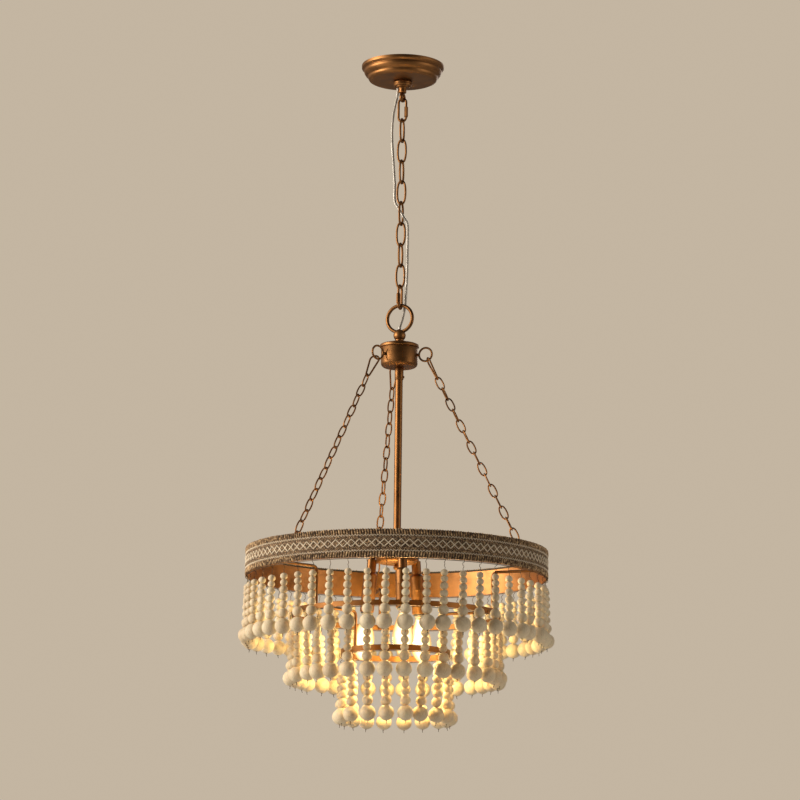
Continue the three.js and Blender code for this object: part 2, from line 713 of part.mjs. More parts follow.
function strand() {
  const radii = beadRow.map((diameter) => diameter / 2);
  let height = -beads.hookDrop;
  const profile = [
    [0, 0],
    [beads.wire / 2, height],
  ];
  radii.forEach((radius, k) => {
    profile.push([radius, height - radius]);
    height -= 2 * radius;
    const next = radii[k + 1];
    profile.push(next ? [Math.min(radius, next) * beadNeckShare, height] : [0, height]);
  });
  return turned(profile, beads.sides);
}

// A tier with two names is cut in two through the gaps between strands, half a spacing round from X
function strandTier(names, radius, ringBottom, count) {
  const wireHeight = ringBottom - touchGap - hangingWire.diameter / 2;
  const wire = new THREE.TorusGeometry(radius, hangingWire.diameter / 2, hangingWire.sides, count);
  const parts = [wire];
  const one = strand();
  for (let k = 0; k < count; k++) {
    parts.push(one.clone().translate(radius, 0, 0).rotateZ((2 * Math.PI * k) / count));
  }
  const whole = join(parts);
  if (names.length === 1) {
    addPiece(names[0], whole, "wood").position.z = wireHeight;
    return;
  }
  const between = Math.PI / count;
  names.forEach((name, i) => {
    const side = i ? -1 : 1;
    const across = [-side * Math.sin(between), side * Math.cos(between), 0];
    const half = solidOf(whole).trimByPlane(across, touchGap / 2);
    addPiece(name, geometryOf(half), "wood").position.z = wireHeight;
  });
}

const strandCounts = { top: 50, middle: 34, bottom: 18 };
const topHalves = ["strands_top_back", "strands_top_front"];
strandTier(topHalves, topInner + topRing.wall / 2, topRingBottom, strandCounts.top);
strandTier(["strands_middle"], middleRing.radius - strapWall / 2, middleBottom, strandCounts.middle);
strandTier(["strands_bottom"], bottomRing.radius - strapWall / 2, bottomBottom, strandCounts.bottom);

// Supply cord: out of the loop's base, down beside the chain and through it, to the ball
const supplyCord = { diameter: 4.5, sides: 8, steps: 40 };
{
  const route = [
    [-9, 0, -38.8],
    [-9.2, 0, -46],
    [-10, 0, -53],
    [-12, 0, -61],
    [-17, 0, -86],
    [-18.8, 0, -120],
    [-16, 0, -162],
    [-12.5, 0, -206],
    [-12.5, 0, -232],
    [-11, 0, -240],
    [-6, 0, -248],
    [0, 0, -258],
    [6, 0, -268],
    [11, 0, -276],
    [12.5, 0, -286],
    [12.5, 0, -328],
    [12.5, 0, -352],
    [12, 0, -372],
    [9, 3, -407],
    [6, 6.5, -421],
    [3, 3.5, -442],
    [0.8, 1, -452],
    [0, 0, -457],
    [0, 0, -459.1],
  ].map(([x, y, z]) => new THREE.Vector3(x, y, z));
  const extrudePath = new THREE.CatmullRomCurve3(route, false, "centripetal");
  const section = roundSection(supplyCord.diameter, supplyCord.sides);
  const run = { steps: supplyCord.steps, extrudePath, bevelEnabled: false };
  addPiece("supply_cord", new THREE.ExtrudeGeometry(section, run), "cord", suspension);
}

export default chandelier;
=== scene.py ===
import json
import math
import random

import bmesh
import bpy
from mathutils import Euler, Matrix, Vector

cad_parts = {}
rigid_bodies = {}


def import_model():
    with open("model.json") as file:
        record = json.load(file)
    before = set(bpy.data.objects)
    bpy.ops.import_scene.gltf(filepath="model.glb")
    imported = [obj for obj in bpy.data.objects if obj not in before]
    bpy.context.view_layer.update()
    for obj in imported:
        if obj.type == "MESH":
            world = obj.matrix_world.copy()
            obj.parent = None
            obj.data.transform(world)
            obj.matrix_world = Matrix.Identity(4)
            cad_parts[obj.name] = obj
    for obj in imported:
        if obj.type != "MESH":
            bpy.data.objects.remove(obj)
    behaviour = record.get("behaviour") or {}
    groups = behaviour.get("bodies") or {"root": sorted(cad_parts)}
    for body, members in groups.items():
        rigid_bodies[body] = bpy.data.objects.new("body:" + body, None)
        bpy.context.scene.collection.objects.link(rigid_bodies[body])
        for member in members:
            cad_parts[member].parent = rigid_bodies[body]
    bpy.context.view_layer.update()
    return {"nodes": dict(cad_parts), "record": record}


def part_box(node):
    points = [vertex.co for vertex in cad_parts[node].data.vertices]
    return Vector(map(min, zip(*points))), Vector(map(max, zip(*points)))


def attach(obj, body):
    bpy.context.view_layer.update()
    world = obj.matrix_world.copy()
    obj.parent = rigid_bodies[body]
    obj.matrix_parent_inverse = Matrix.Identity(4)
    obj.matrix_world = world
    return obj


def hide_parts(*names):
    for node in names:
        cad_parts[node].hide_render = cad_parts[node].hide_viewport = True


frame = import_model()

record = frame["record"]
bodyOf = {node: body for body, nodes in record["behaviour"]["bodies"].items() for node in nodes}


def newObject(name, data):
    made = bpy.data.objects.new(name, data)
    bpy.context.scene.collection.objects.link(made)
    return made


# Camera: the photograph was taken from below and five metres away, with a long lens
photoCamera = {
    "place": (0.002, -4.995, -1.560),
    "pitch": 11.1,
    "roll": 0.71,
    "lens": 137.25,
    "sensor": 36.0,
    "clipEnd": 100,
}


def makeCamera():
    camera = newObject("camera", bpy.data.cameras.new("camera"))
    camera.data.lens = photoCamera["lens"]
    camera.data.sensor_width = photoCamera["sensor"]
    camera.data.clip_end = photoCamera["clipEnd"]
    camera.location = photoCamera["place"]
    upward = Matrix.Rotation(math.radians(90 + photoCamera["pitch"]), 3, "X")
    rolled = Matrix.Rotation(math.radians(photoCamera["roll"]), 3, "Z")
    camera.rotation_euler = (upward @ rolled).to_euler()
    bpy.context.scene.camera = camera


makeCamera()
print("camera placed")


# A node tree, with short ways to add nodes. An input takes a value or another node's output
class Tree:
    def __init__(self, tree):
        self.tree = tree

    def feed(self, socket, value):
        if isinstance(value, bpy.types.NodeSocket):
            self.tree.links.new(value, socket)
        elif socket.type == "RGBA":
            socket.default_value = (*value, 1.0)
        else:
            socket.default_value = value

    def add(self, kind, inputs=None, **settings):
        made = self.tree.nodes.new(kind)
        for key, value in settings.items():
            setattr(made, key, value)
        for key, value in (inputs or {}).items():
            self.feed(made.inputs[key], value)
        return made.outputs

    def math(self, operation, *values):
        return self.add("ShaderNodeMath", dict(enumerate(values)), operation=operation)[0]

    def plus(self, first, second):
        return self.math("ADD", first, second)

    def times(self, first, second):
        return self.math("MULTIPLY", first, second)

    def spread(self, source, low, high, start=0.0, end=1.0, **settings):
        values = {"Value": source, "From Min": start, "From Max": end, "To Min": low, "To Max": high}
        return self.add("ShaderNodeMapRange", values, **settings)["Result"]

    def ramp(self, source, stops):
        made = self.tree.nodes.new("ShaderNodeValToRGB")
        elements = made.color_ramp.elements
        while len(elements) < len(stops):
            elements.new(0.5)
        for element, (position, colour) in zip(elements, stops):
            element.position = position
            element.color = (*colour, 1.0)
        self.feed(made.inputs["Fac"], source)
        return made.outputs["Color"]


class Shader(Tree):
    def __init__(self, name):
        self.material = bpy.data.materials.new(name)
        self.material.use_nodes = True
        super().__init__(self.material.node_tree)

    def attribute(self, name):
        return self.add("ShaderNodeAttribute", attribute_name=name)["Fac"]

    def noise(self, scale, detail=4.0, roughness=0.55, stretch=None):
        source = self.add("ShaderNodeTexCoord")["Object"]
        if stretch:
            source = self.add("ShaderNodeMapping", {"Vector": source, "Scale": stretch})["Vector"]
        values = {"Vector": source, "Scale": scale, "Detail": detail, "Roughness": roughness}
        return self.add("ShaderNodeTexNoise", values)["Fac"]

    def mix(self, share, first, second, blend="MIX"):
        values = {"Factor": share, "A": first, "B": second}
        return self.add("ShaderNodeMix", values, data_type="RGBA", blend_type=blend)["Result"]

    def bump(self, height, strength, distance):
        values = {"Height": height, "Strength": strength, "Distance": distance}
        return self.add("ShaderNodeBump", values)["Normal"]

    def paint(self, values):
        surface = self.tree.nodes["Principled BSDF"]
        for name, value in values.items():
            self.feed(surface.inputs[name], value)
        return self.material


# Aged copper-brown metal: mottled, rubbed brighter in places, with fine lines from turning
def agedMetal(name, light, dark, roughness, lines):
    shader = Shader(name)
    mottle = shader.noise(38.0, 5.0, 0.6)
    cloud = shader.noise(9.0, 3.0, 0.5)
    grain = shader.noise(420.0, 2.0, 0.7)
    turning = shader.noise(1500.0, 3.0, 0.6, (0.03, 0.03, 1.0))
    bright = tuple(1.22 * c for c in light)
    tone = shader.plus(shader.times(mottle, 0.6), shader.times(cloud, 0.4))
    tone = shader.plus(tone, shader.spread(turning, -lines, lines, 0.3, 0.7))
    rough = shader.spread(mottle, roughness - 0.03, roughness + 0.06, 0.3, 0.7)
    relief = shader.plus(shader.times(mottle, 0.6), shader.times(grain, 0.3))
    relief = shader.plus(relief, shader.times(turning, 4 * lines))
    return shader.paint({
        "Base Color": shader.ramp(tone, [(0.34, dark), (0.5, light), (0.68, bright)]),
        "Metallic": 1.0,
        "Roughness": shader.plus(rough, shader.spread(grain, -0.02, 0.02)),
        "Normal": shader.bump(relief, 0.035, 0.0003),
    })


# A plain surface: one noise gives its tones, its roughness and, without a finer one, its relief
def mottled(name, grain, stops, roughness, relief, metallic=0.0, fine=None):
    shader = Shader(name)
    patch = shader.noise(*grain)
    return shader.paint({
        "Base Color": shader.ramp(patch, stops),
        "Metallic": metallic,
        "Roughness": shader.spread(patch, *roughness),
        "Normal": shader.bump(shader.noise(*fine) if fine else patch, relief, 0.0003),
    })


# Limed wood: pale, with a faint grain along the bead and its own tone for each bead and strand
woodTones = [(0.15, (0.61, 0.47, 0.30)), (0.5, (0.71, 0.575, 0.38)), (0.85, (0.80, 0.68, 0.47))]
woodStreaks = [(0.34, (0.70, 0.63, 0.54)), (0.52, (1.0, 1.0, 1.0))]


def limedWood():
    shader = Shader("limedWood")
    grain = shader.noise(700.0, 4.0, 0.65, (1.0, 1.0, 0.22))
    cloud = shader.noise(95.0, 3.0)
    own = shader.times(shader.attribute("beadTone"), 0.6)
    shared = shader.times(shader.attribute("strandTone"), 0.4)
    pale = shader.ramp(shader.plus(own, shared), woodTones)
    return shader.paint({
        "Base Color": shader.mix(0.62, pale, shader.ramp(grain, woodStreaks), "MULTIPLY"),
        "Roughness": shader.spread(cloud, 0.55, 0.8, 0.3, 0.7),
        "Subsurface Weight": 0.06,
        "Subsurface Radius": (0.006, 0.003, 0.0015),
        "Normal": shader.bump(shader.plus(grain, cloud), 0.2, 0.0005),
    })


# Yarn, for the trim: fibres along the thread, and stitches that differ in tone from one to the next
woolSheen = {"Sheen Weight": 0.22, "Sheen Roughness": 0.5, "Sheen Tint": (1.0, 0.84, 0.64)}


def yarn(name, tones, uneven):
    shader = Shader(name)
    hairs = shader.noise(700.0, 5.0, 0.75)
    stitches = shader.spread(shader.noise(260.0, 1.0), -uneven, uneven, 0.3, 0.7)
    patch = shader.spread(shader.noise(26.0, 3.0), -0.08, 0.08, 0.3, 0.7)
    tone = shader.plus(shader.plus(stitches, patch), shader.spread(hairs, -0.12, 0.12, 0.3, 0.7))
    return shader.paint({
        "Base Color": shader.ramp(shader.plus(tone, 0.5), list(zip((0.1, 0.5, 0.9), tones))),
        "Roughness": shader.spread(hairs, 0.8, 1.0),
        "Normal": shader.bump(hairs, 0.5, 0.0008),
        **woolSheen,
    })


# The trim's ground: close knit ribbing made from the distance round and up the band, its hollows darker as
# painted shade, with flecks of paler yarn, and a near-black painted shade behind the whipped edges
# The last tone, near black, is painted shade for the ground behind the whipped edges
knitSize = {"stitch": 0.0034, "row": 0.0030, "stitchShadeTone": (0.03, 0.019, 0.011)}
knitTones = [
    (0.12, (0.022, 0.011, 0.005)),
    (0.42, (0.094, 0.048, 0.020)),
    (0.68, (0.27, 0.150, 0.068)),
    (0.95, (0.78, 0.52, 0.28)),
]


def knitGround(edgeLow, edgeHigh):
    shader = Shader("knitGround")
    upward = shader.attribute("bandUp")
    columns = shader.times(shader.attribute("bandAround"), 2 * math.pi / knitSize["stitch"])
    rows = shader.times(upward, 2 * math.pi / knitSize["row"])
    knit = shader.times(shader.math("SINE", columns), shader.math("SINE", rows))
    hairs = shader.noise(520.0, 3.0, 0.8)
    # Painted shade: the tone follows the knit's relief, lighter on the raised stitches and darker in the
    # hollows
    ribsAndShade = shader.spread(knit, 0.36, 0.62, -1.0, 1.0)
    tone = shader.plus(ribsAndShade, shader.spread(hairs, -0.6, 0.6, 0.35, 0.65))
    above = shader.math("GREATER_THAN", upward, edgeHigh)
    below = shader.math("LESS_THAN", upward, edgeLow)
    base = shader.ramp(tone, knitTones)
    return shader.paint({
        # Painted shade: the ground behind the whipped edges, above and below the given heights, is near
        # black
        "Base Color": shader.mix(shader.plus(above, below), base, knitSize["stitchShadeTone"]),
        "Roughness": shader.spread(hairs, 0.85, 1.0),
        "Normal": shader.bump(shader.plus(knit, shader.times(hairs, 2.0)), 0.8, 0.001),
        **woolSheen,
    })


# Lit candle bulbs: pale gold in the middle, deeper towards the edge of the glass
glowTones = [(0.05, (1.0, 0.90, 0.60)), (0.28, (1.0, 0.72, 0.30)), (0.75, (0.92, 0.45, 0.10))]


def litGlass():
    shader = Shader("litGlass")
    facing = shader.add("ShaderNodeLayerWeight", {"Blend": 0.35})["Facing"]
    ripple = shader.noise(70.0, 2.0)
    edge = shader.plus(facing, shader.spread(ripple, -0.05, 0.05))
    return shader.paint({
        "Base Color": (0.12, 0.06, 0.02),
        "Roughness": shader.spread(ripple, 0.05, 0.15),
        "Emission Color": shader.ramp(edge, glowTones),
        "Emission Strength": shader.spread(edge, 2.1, 0.6, 0.05, 0.6),
        "Normal": shader.bump(ripple, 0.05, 0.0005),
    })


# Clear cord with two silvery conductors inside it: streaks that run along its length
cordTones = [(0.35, (0.28, 0.24, 0.19)), (0.5, (0.46, 0.41, 0.34)), (0.65, (0.66, 0.61, 0.53))]


def clearCord():
    shader = Shader("clearCord")
    streaks = shader.noise(900.0, 3.0, 0.6, (1.0, 1.0, 0.05))
    return shader.paint({
        "Base Color": shader.ramp(streaks, cordTones),
        "Metallic": 0.1,
        "Roughness": shader.spread(shader.noise(90.0), 0.22, 0.4),
        "Coat Weight": 0.5,
        "Coat Roughness": 0.12,
        "Normal": shader.bump(streaks, 0.3, 0.0005),
    })


brown = agedMetal("agedBrass", (0.215, 0.096, 0.032), (0.135, 0.056, 0.018), 0.45, 0.0)
lined = agedMetal("turnedBrass", (0.24, 0.109, 0.037), (0.175, 0.076, 0.025), 0.45, 0.08)
copper = agedMetal("copperBand", (0.34, 0.150, 0.050), (0.18, 0.074, 0.024), 0.42, 0.04)
steel = mottled(
    "platedSteel",
    grain=(60.0, 4.0, 0.6),
    stops=[(0.3, (0.33, 0.25, 0.18)), (0.6, (0.52, 0.46, 0.38))],
    roughness=(0.26, 0.44, 0.3, 0.7),
    relief=0.1,
    metallic=1.0,
    fine=(500.0, 2.0),
)
black = mottled(
    "blackHolder",
    grain=(240.0, 3.0),
    stops=[(0.3, (0.012, 0.009, 0.007)), (0.7, (0.035, 0.027, 0.02))],
    roughness=(0.45, 0.65),
    relief=0.15,
)
wood = limedWood()
wire = mottled(
    "darkWire",
    grain=(130.0, 3.0),
    stops=[(0.35, (0.035, 0.02, 0.012)), (0.65, (0.14, 0.08, 0.04))],
    roughness=(0.35, 0.6),
    relief=0.2,
    metallic=0.8,
)
sandYarn = yarn("sandYarn", ((0.065, 0.034, 0.015), (0.27, 0.155, 0.072), (0.74, 0.50, 0.26)), 0.42)
creamYarn = yarn("creamYarn", ((0.56, 0.43, 0.29), (0.76, 0.63, 0.45), (0.88, 0.78, 0.62)), 0.18)
glass = litGlass()
clear = clearCord()
print("materials made")


def onCircle(radius, angle, height=0.0):
    return radius * math.cos(angle), radius * math.sin(angle), height


def circle(radius, count, height=0.0):
    return [onCircle(radius, 2 * math.pi * k / count, height) for k in range(count)]


# A mesh being put together from turned and swept shapes
class Form:
    def __init__(self):
        self.points = []
        self.faces = []
        self.slots = []
        self.tones = []

    def add(self, points, faces, slot, tone=0.5):
        base = len(self.points)
        self.points.extend(tuple(p) for p in points)
        self.faces.extend(tuple(base + i for i in face) for face in faces)
        self.slots.extend([slot] * len(faces))
        self.tones.extend([tone] * len(points))
        return self

    def turn(self, profile, segments, matrix=None, slot=0, tone=0.5):
        matrix = matrix or Matrix()
        points = []
        rows = []
        for radius, height in profile:
            onAxis = radius < 1e-7
            added = [(0, 0, height)] if onAxis else circle(radius, segments, height)
            first = len(points)
            rows.append([first] * segments if onAxis else list(range(first, first + segments)))
            points.extend(matrix @ Vector(p) for p in added)
        faces = []
        for row, following in zip(rows, rows[1:]):
            for k in range(segments):
                n = (k + 1) % segments
                corners = [row[k], row[n], following[n], following[k]]
                face = [c for i, c in enumerate(corners) if c not in corners[:i]]
                if len(face) > 2:
                    faces.append(face)
        return self.add(points, faces, slot, tone)

    def sweep(self, path, radius, sides, matrix=None, closed=False, slot=0, flat=1.0, start=None):
        matrix = matrix or Matrix()
        path = [Vector(p) for p in path]
        count = len(path)
        across = None
        points = []
        for i, here in enumerate(path):
            before = path[i - 1] if closed or i else here
            after = path[(i + 1) % count] if closed or i < count - 1 else here
            ahead = (after - before).normalized()
            if across is None:
                across = start or (Vector((0, 1, 0)) if abs(ahead.y) < 0.9 else Vector((1, 0, 0)))
            across = (across - ahead * across.dot(ahead)).normalized()
            other = ahead.cross(across)
            for x, y, z in circle(1.0, sides):
                points.append(matrix @ (here + (across * x * radius + other * y * radius * flat)))
        faces = []
        for i in range(count if closed else count - 1):
            a = i * sides
            b = ((i + 1) % count) * sides
            for k in range(sides):
                n = (k + 1) % sides
                faces.append((a + k, a + n, b + n, b + k))
        if not closed:
            faces.append(tuple(range(sides))[::-1])
            faces.append(tuple(range((count - 1) * sides, count * sides)))
        return self.add(points, faces, slot)

    def mesh(self, name, *materials, sharp=38):
        data = bpy.data.meshes.new(name)
        data.from_pydata(self.points, [], self.faces)
        data.polygons.foreach_set("material_index", self.slots)
        for material in materials:
            data.materials.append(material)
        data.attributes.new("beadTone", "FLOAT", "POINT").data.foreach_set("value", self.tones)
        data.shade_smooth()
        data.validate()
        data.update()
        fixFacing(data)
        data.set_sharp_from_angle(angle=math.radians(sharp))
        return data

    def piece(self, name, node, *materials, sharp=38):
        return place(name, self.mesh(name, *materials, sharp=sharp), node)


def fixFacing(data):
    held = bmesh.new()
    held.from_mesh(data)
    bmesh.ops.recalc_face_normals(held, faces=held.faces)
    held.to_mesh(data)
    held.free()


def joinMeshes(data, others, slot):
    held = bmesh.new()
    held.from_mesh(data)
    for other in others:
        for polygon in other.polygons:
            polygon.material_index = slot
        held.from_mesh(other)
    held.to_mesh(data)
    held.free()
    for other in others:
        bpy.data.meshes.remove(other)
    data.update()


# The mesh that an object's modifiers give
def evaluated(made):
    bpy.context.view_layer.update()
    graph = bpy.context.evaluated_depsgraph_get()
    return bpy.data.meshes.new_from_object(made.evaluated_get(graph))


# Rounds the corners of a profile or a route, by no more than a share of the edges beside each
def eased(corners, ease, steps, share=0.45):
    corners = [Vector(c) for c in corners]
    made = [corners[0]]
    for before, here, after in zip(corners, corners[1:], corners[2:]):
        back = before - here
        ahead = after - here
        start = here + back.normalized() * min(ease, back.length * share)
        end = here + ahead.normalized() * min(ease, ahead.length * share)
        for k in range(steps + 1):
            t = k / steps
            made.append(start * (1 - t) ** 2 + here * 2 * t * (1 - t) + end * t**2)
    return [*made, corners[-1]]


# Part of an ellipse in a profile, between two angles measured from straight up
def arc(centre, reach, rise, begin, end, steps):
    made = []
    for k in range(steps + 1):
        angle = begin + (end - begin) * k / steps
        made.append((centre[0] + reach * math.sin(angle), centre[1] + rise * math.cos(angle)))
    return made


def roundedFoot(radius, rounding, bottom):
    centre = (radius - rounding, bottom + rounding)
    return arc(centre, rounding, rounding, math.pi / 2, math.pi, 12)


# A smooth curve through the points: three rows of blends between each four neighbours
blendRows = (((0, 1), (1, 2), (2, 3)), ((0, 2), (1, 3)), ((1, 2),))


def smoothCurve(points, steps):
    points = [Vector(p) for p in points]
    padded = [2 * points[0] - points[1], *points, 2 * points[-1] - points[-2]]
    made = []
    for four in zip(padded, padded[1:], padded[2:], padded[3:]):
        knots = [0.0]
        for here, following in zip(four, four[1:]):
            knots.append(knots[-1] + math.sqrt((following - here).length))
        for k in range(steps):
            t = knots[1] + (knots[2] - knots[1]) * k / steps
            row = four
            for pairs in blendRows:
                shares = [(t - knots[i]) / (knots[j] - knots[i]) for i, j in pairs]
                row = [first.lerp(second, share) for first, second, share in zip(row, row[1:], shares)]
            made.append(row[0])
    return [*made, points[-1]]


def linkPath(length, topWidth, bottomWidth, wireWidth, steps):
    topBend = (topWidth - wireWidth) / 2
    bottomBend = (bottomWidth - wireWidth) / 2
    topCentre = (length - topWidth) / 2
    bottomCentre = (bottomWidth - length) / 2
    taper = math.asin((topBend - bottomBend) / (topCentre - bottomCentre))
    path = []
    ends = (
        (topBend, topCentre, -taper, math.pi + 2 * taper),
        (bottomBend, bottomCentre, math.pi + taper, math.pi - 2 * taper),
    )
    for bend, centre, begin, turn in ends:
        for k in range(steps + 1):
            angle = begin + turn * k / steps
            path.append((bend * math.cos(angle), 0, centre + bend * math.sin(angle)))
    return path


# A link bowed out along its sides, fuller than an ellipse
def bowedPath(length, width, wireWidth, steps, power=2.4):
    path = []
    for k in range(4 * steps):
        angle = math.pi / 2 * k / steps
        sides = []
        for reach, share in ((width, math.cos(angle)), (length, math.sin(angle))):
            sides.append((reach - wireWidth) / 2 * math.copysign(abs(share) ** (2 / power), share))
        path.append((sides[0], 0, sides[1]))
    return path


def roundPath(radius, steps):
    return [(point[0], 0, point[1]) for point in circle(radius, steps)]


def place(name, data, *nodes):
    piece = newObject(name, data)
    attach(piece, bodyOf[nodes[0]])
    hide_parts(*nodes)
    return piece


def around(azimuth):
    return Matrix.Rotation(math.radians(azimuth), 4, "Z")


def threeSpokes(azimuth):
    return [(k, around(azimuth + 120 * (k - 1))) for k in (1, 2, 3)]


def span(node):
    lower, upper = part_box(node)
    return Vector(lower), Vector(upper)


def topOf(node):
    return span(node)[1].z


def bottomOf(node):
    return span(node)[0].z


def reachOf(node):
    return span(node)[1].x


def middleOf(node):
    return (topOf(node) + bottomOf(node)) / 2


# Everything that hangs from the canopy on its own hooks is turned a little about the vertical
suspensionTurn = -24.0


def hung(turn=0.0, height=0.0):
    return Matrix.Translation((0, 0, height)) @ around(suspensionTurn + turn)


# Supply cord: the same route as in the part, in metres, before the suspension's turn
cordSize = {"diameter": 0.0045, "steps": 8, "roundness": 5}
cordRoute = [
    (-0.009, 0, -0.0388),
    (-0.0092, 0, -0.046),
    (-0.01, 0, -0.053),
    (-0.012, 0, -0.061),
    (-0.017, 0, -0.086),
    (-0.0188, 0, -0.12),
    (-0.016, 0, -0.162),
    (-0.0125, 0, -0.206),
    (-0.0125, 0, -0.232),
    (-0.011, 0, -0.24),
    (-0.006, 0, -0.248),
    (0, 0, -0.258),
    (0.006, 0, -0.268),
    (0.011, 0, -0.276),
    (0.0125, 0, -0.286),
    (0.0125, 0, -0.328),
    (0.0125, 0, -0.352),
    (0.012, 0, -0.372),
    (0.009, 0.003, -0.407),
    (0.006, 0.0065, -0.421),
    (0.003, 0.0035, -0.442),
    (0.0008, 0.001, -0.452),
    (0, 0, -0.457),
    (0, 0, -0.4591),
]


def makeCord():
    path = smoothCurve([hung() @ Vector(p) for p in cordRoute], cordSize["steps"])
    curve = bpy.data.curves.new("supplyCord", "CURVE")
    curve.dimensions = "3D"
    curve.bevel_depth = cordSize["diameter"] / 2
    curve.bevel_resolution = cordSize["roundness"]
    curve.use_fill_caps = True
    spline = curve.splines.new("POLY")
    spline.points.add(len(path) - 1)
    for point, here in zip(spline.points, path):
        point.co = (*here, 1.0)
    curve.materials.append(clear)
    piece = place("supplyCord", curve, "supply_cord")


makeCord()


# Canopy and ring nut. The canopy's outline is in shares of its radius and its depth
canopySize = {
    "wall": 0.0015,
    "hole": 0.0119,
    "ease": 0.0008,
    "segments": 96,
    "nutSegments": 72,
    "grooves": 6,
    "groove": 0.0007,
    "nutTop": 0.0012,
    "nutBottom": 0.0014,
}
canopyShares = [
    (1.0, 0.0),
    (1.0, 0.185),
    (0.935, 0.28),
    (0.945, 0.37),
    (0.935, 0.48),
    (0.905, 0.61),
    (0.86, 0.685),
    (0.845, 0.74),
    (0.84, 0.83),
    (0.82, 0.925),
    (0.75, 1.0),
]


def makeCanopy():
    size = canopySize
    lower, upper = span("canopy")
    radius = upper.y
    depth = upper.z - lower.z
    wall = size["wall"]
    hole = size["hole"]
    outside = [(radius * r, upper.z - depth * z) for r, z in canopyShares]
    inside = [((radius - wall) * r, upper.z - (depth - wall) * z) for r, z in reversed(canopyShares)]
    profile = [*outside, (hole, lower.z), (hole, lower.z + wall), *inside, outside[0]]
    shell = Form().turn(eased(profile, size["ease"], 2), size["segments"])
    shell.piece("canopyShell", "canopy", lined)

    lower, upper = span("canopy_collar")
    radius = upper.y
    step = (upper.z - lower.z) / size["grooves"]
    ring = [(hole, upper.z), (radius - size["nutTop"], upper.z)]
    for k in range(1, size["grooves"]):
        ring.append((radius - (size["groove"] if k % 2 else 0.0), upper.z - step * k))
    ring += [(radius - size["nutBottom"], lower.z), (hole, lower.z), (hole, upper.z)]
    nut = Form().turn(eased(ring, size["ease"], 3), size["nutSegments"])
    nut.piece("canopyNut", "canopy_collar", lined)


# Loop: a bored stem with a ring under it
loopSize = {
    "base": 0.023,
    "baseHeight": 0.0185,
    "stem": 0.013,
    "stemHeight": 0.0095,
    "wire": 0.004,
    "widthScale": 1.5,
    "hole": 0.009,
    "sink": 0.001,
    "bore": 0.0102,
    "boreDepth": 0.0111,
    "edge": 0.001,
    "ease": 0.0006,
    "segments": 64,
    "ringSteps": 40,
    "ringSides": 16,
}


def makeLoop():
    size = loopSize
    upper = topOf("canopy_loop")
    radius = size["base"] / 2
    stem = size["stem"] / 2
    bore = size["bore"] / 2
    edge = size["edge"]
    bottom = upper - size["baseHeight"]
    stemBottom = bottom - size["stemHeight"]
    boreTop = upper - size["boreDepth"]
    base = [(0, boreTop), (bore, boreTop), (bore, upper), (radius, upper), (radius, bottom + 2 * edge)]
    base += [(radius - edge, bottom), (stem + 0.6 * edge, bottom), (stem, bottom - 0.8 * edge)]
    base += [(stem, stemBottom + edge), (stem - 1.2 * edge, stemBottom), (0, stemBottom)]
    bend = (size["hole"] + size["wire"]) / 2
    turned = hung(90, stemBottom + size["sink"] - bend - size["wire"] / 2)
    wide = size["wire"] / 2 * size["widthScale"]
    form = Form().turn(eased(base, size["ease"], 3), size["segments"])
    ring = roundPath(bend, size["ringSteps"])
    form.sweep(ring, wide, size["ringSides"], turned, closed=True, flat=1 / size["widthScale"])
    form.piece("canopyLoop", "canopy_loop", brown)


# Links of the main chain, and the screw sleeves of the two quick links
linkSize = {
    "count": 8,
    "wire": 0.0036,
    "width": 0.0186,
    "quickWire": 0.004,
    "quickWidth": 0.018,
    "sleeve": 0.007,
    "sleeveGap": 0.0002,
    "sleeveEdge": 0.0008,
    "sleeveSides": 6,
    "steps": 14,
    "sides": 14,
}
quickTurn = {"upper": 0.0, "lower": -90.0}


def makeChain():
    size = linkSize
    steps = size["steps"]
    sides = size["sides"]
    radius = size["wire"] / 2
    for k in range(1, size["count"] + 1):
        node = f"chain_link_{k}"
        path = bowedPath(topOf(node) - bottomOf(node), size["width"], size["wire"], steps)
        turned = hung(90 if k % 2 else 0, middleOf(node))
        Form().sweep(path, radius, sides, turned, closed=True).piece(f"chainLink{k}", node, brown)
    radius = size["quickWire"] / 2
    width = size["quickWidth"]
    for prefix, turn in quickTurn.items():
        node = f"{prefix}_quick_link"
        path = linkPath(topOf(node) - bottomOf(node), width, width, size["quickWire"], steps)
        turned = hung(turn, middleOf(node))
        Form().sweep(path, radius, sides, turned, closed=True).piece(f"{prefix}QuickLink", node, brown)

        node = f"{prefix}_link_sleeve"
        bottom = bottomOf(node)
        top = topOf(node)
        inner = radius + size["sleeveGap"]
        outer = size["sleeve"] / 2
        edge = size["sleeveEdge"]
        profile = [(inner, bottom), (outer - edge, bottom), (outer, bottom + edge), (outer, top - edge)]
        profile += [(outer - edge, top), (inner, top), (inner, bottom)]
        turned = hung(turn) @ Matrix.Translation((width / 2 - radius, 0, 0))
        sleeve = Form().turn(profile, size["sleeveSides"], turned)
        sleeve.piece(f"{prefix}LinkSleeve", node, brown, sharp=25)


# Hanging ring, ball with neck, flange and stud, hub cap and hub body
hubSize = {
    "ringWire": 0.006,
    "ball": 0.0207,
    "ballHeight": 0.0235,
    "neck": 0.014,
    "flange": 0.024,
    "flangeHeight": 0.003,
    "flangeEdge": 0.001,
    "stud": 0.008,
    "studLength": 0.015,
    "bore": 0.0043,
    "capHole": 0.0045,
    "capFlat": 0.002,
    "capEdge": 0.0008,
    "drumHole": 0.0085,
    "drumRounding": 0.007,
    "drumTop": 0.0004,
    "drumEdge": 0.0006,
    "segments": 96,
    "ballSegments": 64,
    "ballSteps": 22,
    "ringSteps": 72,
    "ringSides": 20,
    "boreSides": 16,
}


